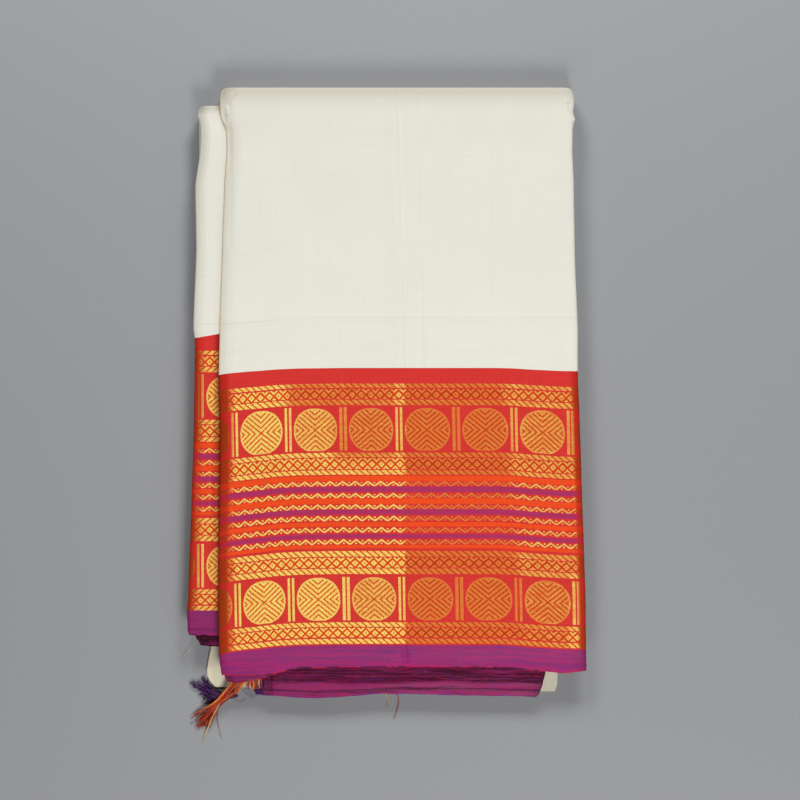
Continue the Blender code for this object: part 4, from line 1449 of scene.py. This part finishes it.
def makeTuft(name, look):
    # the strands of a bundle run side by side to its neck and fan out from there
    curve = newStrands(name)
    for count, threads, way, tips, tipSpread in look["bundles"]:
        for k in range(count):
            lane = scatter(1.0)
            lane.z *= strandLook["lift"]
            points = [Vector(place) + lane * spread + scatter(strandLook["loose"]) for place, spread in way]
            tip = Vector(random.choice(tips)) + Vector(strandLook["tipFlat"]) * scatter(tipSpread).x
            tip += scatter(tipSpread * strandLook["tipLoose"])
            heading = (points[-1] - points[-2]).normalized()
            onward = points[-1] + heading * random.uniform(*strandLook["onward"])
            towards, share = strandLook["lean"]
            after = onward.lerp(points[-1].lerp(tip, towards), share)
            points += [after, after.lerp(tip, strandLook["bendAt"]) + scatter(strandLook["bendLoose"]), tip]
            for place in points:
                place.z = max(place.z, strandLook["lowest"])
            radius = look["radius"] * random.uniform(*strandLook["radii"])
            addStrand(curve, points, radius, random.choice(threads), strandLook["thin"])
    return strandPiece(name, curve, [look["node"]])


tuftPieces = {name: makeTuft(name, look) for name, look in tuftLook.items()}

fringeLook = {
    "thin": 0.75,
    # combed ends that hang below the layer over them, with their threads in turn from left to right
    "strands": 60, "x": (-141.5, -123.6), "y": (-271.5, -282.8), "z": (10.4, 6.6), "radii": (0.34, 0.46),
    "turns": ((0, 1, 7), (3, 4, 1), (0, 4, 0), (5, 1, 0), (7, 0, 1), (3, 4, 0)),
    "startLoose": (-0.5, 0.5), "endLoose": ((-1.6, 1.0), (-1.4, 4.0), (-1.0, 1.0)),
    "bends": ((0.4, 0.4), (0.75, 0.5)),       # how far along, how loose
    # violet ends that lie crosswise below them
    "violet": 60, "violetX": (-121.5, -136.5), "violetY": (-281.5, -289.6), "violetZ": (5.6, 3.0),
    "violetRadii": (0.26, 0.36), "violetThreads": (5, 5, 5, 3), "violetLift": (-0.8, 0.8),
    "violetReach": (0.85, 1.05), "violetShorter": 0.3, "violetBend": (-0.4, 0.4), "violetDrop": -0.8,
    "violetAlong": (0.0, 0.35, 0.7, 1.0),
}


def makeInnerFringe():
    curve = newStrands("innerFringe")
    look, uniform = fringeLook, random.uniform
    turns = look["turns"]
    for k in range(look["strands"]):
        part = (k + random.random()) / look["strands"]
        x = between(look["x"], part)
        turn = turns[int(part * 2 * len(turns)) % len(turns)]
        start = Vector((x, look["y"][0], look["z"][0] + uniform(*look["startLoose"])))
        end = Vector([at + uniform(*loose) for at, loose in zip((x, look["y"][1], look["z"][1]), look["endLoose"])])
        bends = [start.lerp(end, along) + scatter(loose) for along, loose in look["bends"]]
        addStrand(curve, [start, *bends, end], uniform(*look["radii"]), random.choice(turn), look["thin"])
    for k in range(look["violet"]):
        part = (k + 0.5) / look["violet"]
        start = Vector((look["violetX"][0], between(look["violetY"], part), 0.0))
        start.z = between(look["violetZ"], part) + uniform(*look["violetLift"])
        reach = (look["violetX"][1] - look["violetX"][0]) * (1.0 - look["violetShorter"] * part)
        reach *= uniform(*look["violetReach"])
        points = [
            start + Vector((reach * t, uniform(*look["violetBend"]), look["violetDrop"] * t))
            for t in look["violetAlong"]
        ]
        addStrand(curve, points, uniform(*look["violetRadii"]), random.choice(look["violetThreads"]), look["thin"])
    return strandPiece("innerFringe", curve, ["inner_fringe"])


innerFringe = makeInnerFringe()

looseThin = 0.7
looseLook = (
    # points, radius, thread
    (((-187, -229, 16.0), (-190, -234, 8.0), (-198, -242, 1.2), (-206, -251, 0.8)), 0.2, 4),
    (((-3, -284, 12.5), (-1, -289, 6.0), (3, -294, 1.2), (1, -300, 0.9), (0, -302, 0.8)), 0.34, 7),
    (((8, -284, 12.5), (11, -289, 6.0), (13, -297, 1.2), (10, -306, 0.9), (7, -314, 0.8)), 0.4, 6),
    (((-168, -297, 6.8), (-175, -308, 4.0), (-180.6, -322, 1.4), (-186.4, -337.6, 0.8)), 0.6, 4),
    (((-168, -297, 6.4), (-174, -306, 3.6), (-179, -316, 1.4), (-184.6, -330, 0.8)), 0.34, 7),
    (((-168, -298, 4.8), (-174, -308, 2.6), (-171, -320, 1.2), (-167.3, -333, 0.8)), 0.26, 2),
    (((-167, -298, 4.8), (-173.5, -307, 2.6), (-172.5, -316, 1.2), (-169.3, -326, 0.8)), 0.2, 6),
    (((-186, -313, 1.4), (-192, -317, 1.0), (-199, -319.5, 0.8)), 0.2, 5),
    (((-147, -281, 8.0), (-145, -287, 3.0), (-140, -292.5, 1.0), (-134, -293.5, 0.8)), 0.16, 3),
    (((-143, -280, 8.5), (-143.5, -287, 3.0), (-138, -291.5, 1.0), (-132, -292, 0.8)), 0.14, 3),
    (((-140, -282, 7.0), (-139, -287, 3.0), (-136, -290.5, 1.0), (-131, -291, 0.8)), 0.14, 5),
    (((-154, -294, 1.2), (-150, -299, 0.8), (-144, -298, 0.8), (-143, -293, 0.8)), 0.13, 6),
    (((-136, -272.5, 11.0), (-129, -272.8, 11.0), (-120, -272.2, 11.2), (-110, -270.8, 11.4)), 0.3, 1),
    (((-132, -273.4, 10.6), (-125, -273.6, 10.8), (-118, -273.0, 10.8)), 0.34, 0),
    (((-124, -272.6, 11.4), (-118, -272.2, 11.4), (-112, -271.6, 11.4)), 0.3, 4),
)


def makeLooseThreads():
    curve = newStrands("looseThreads")
    for points, radius, thread in looseLook:
        addStrand(curve, [Vector(point) for point in points], radius, thread, looseThin)
    return strandPiece("looseThreads", curve, [])


looseThreads = makeLooseThreads()

# The end

print("stage: sheets")

bpy.context.view_layer.update()
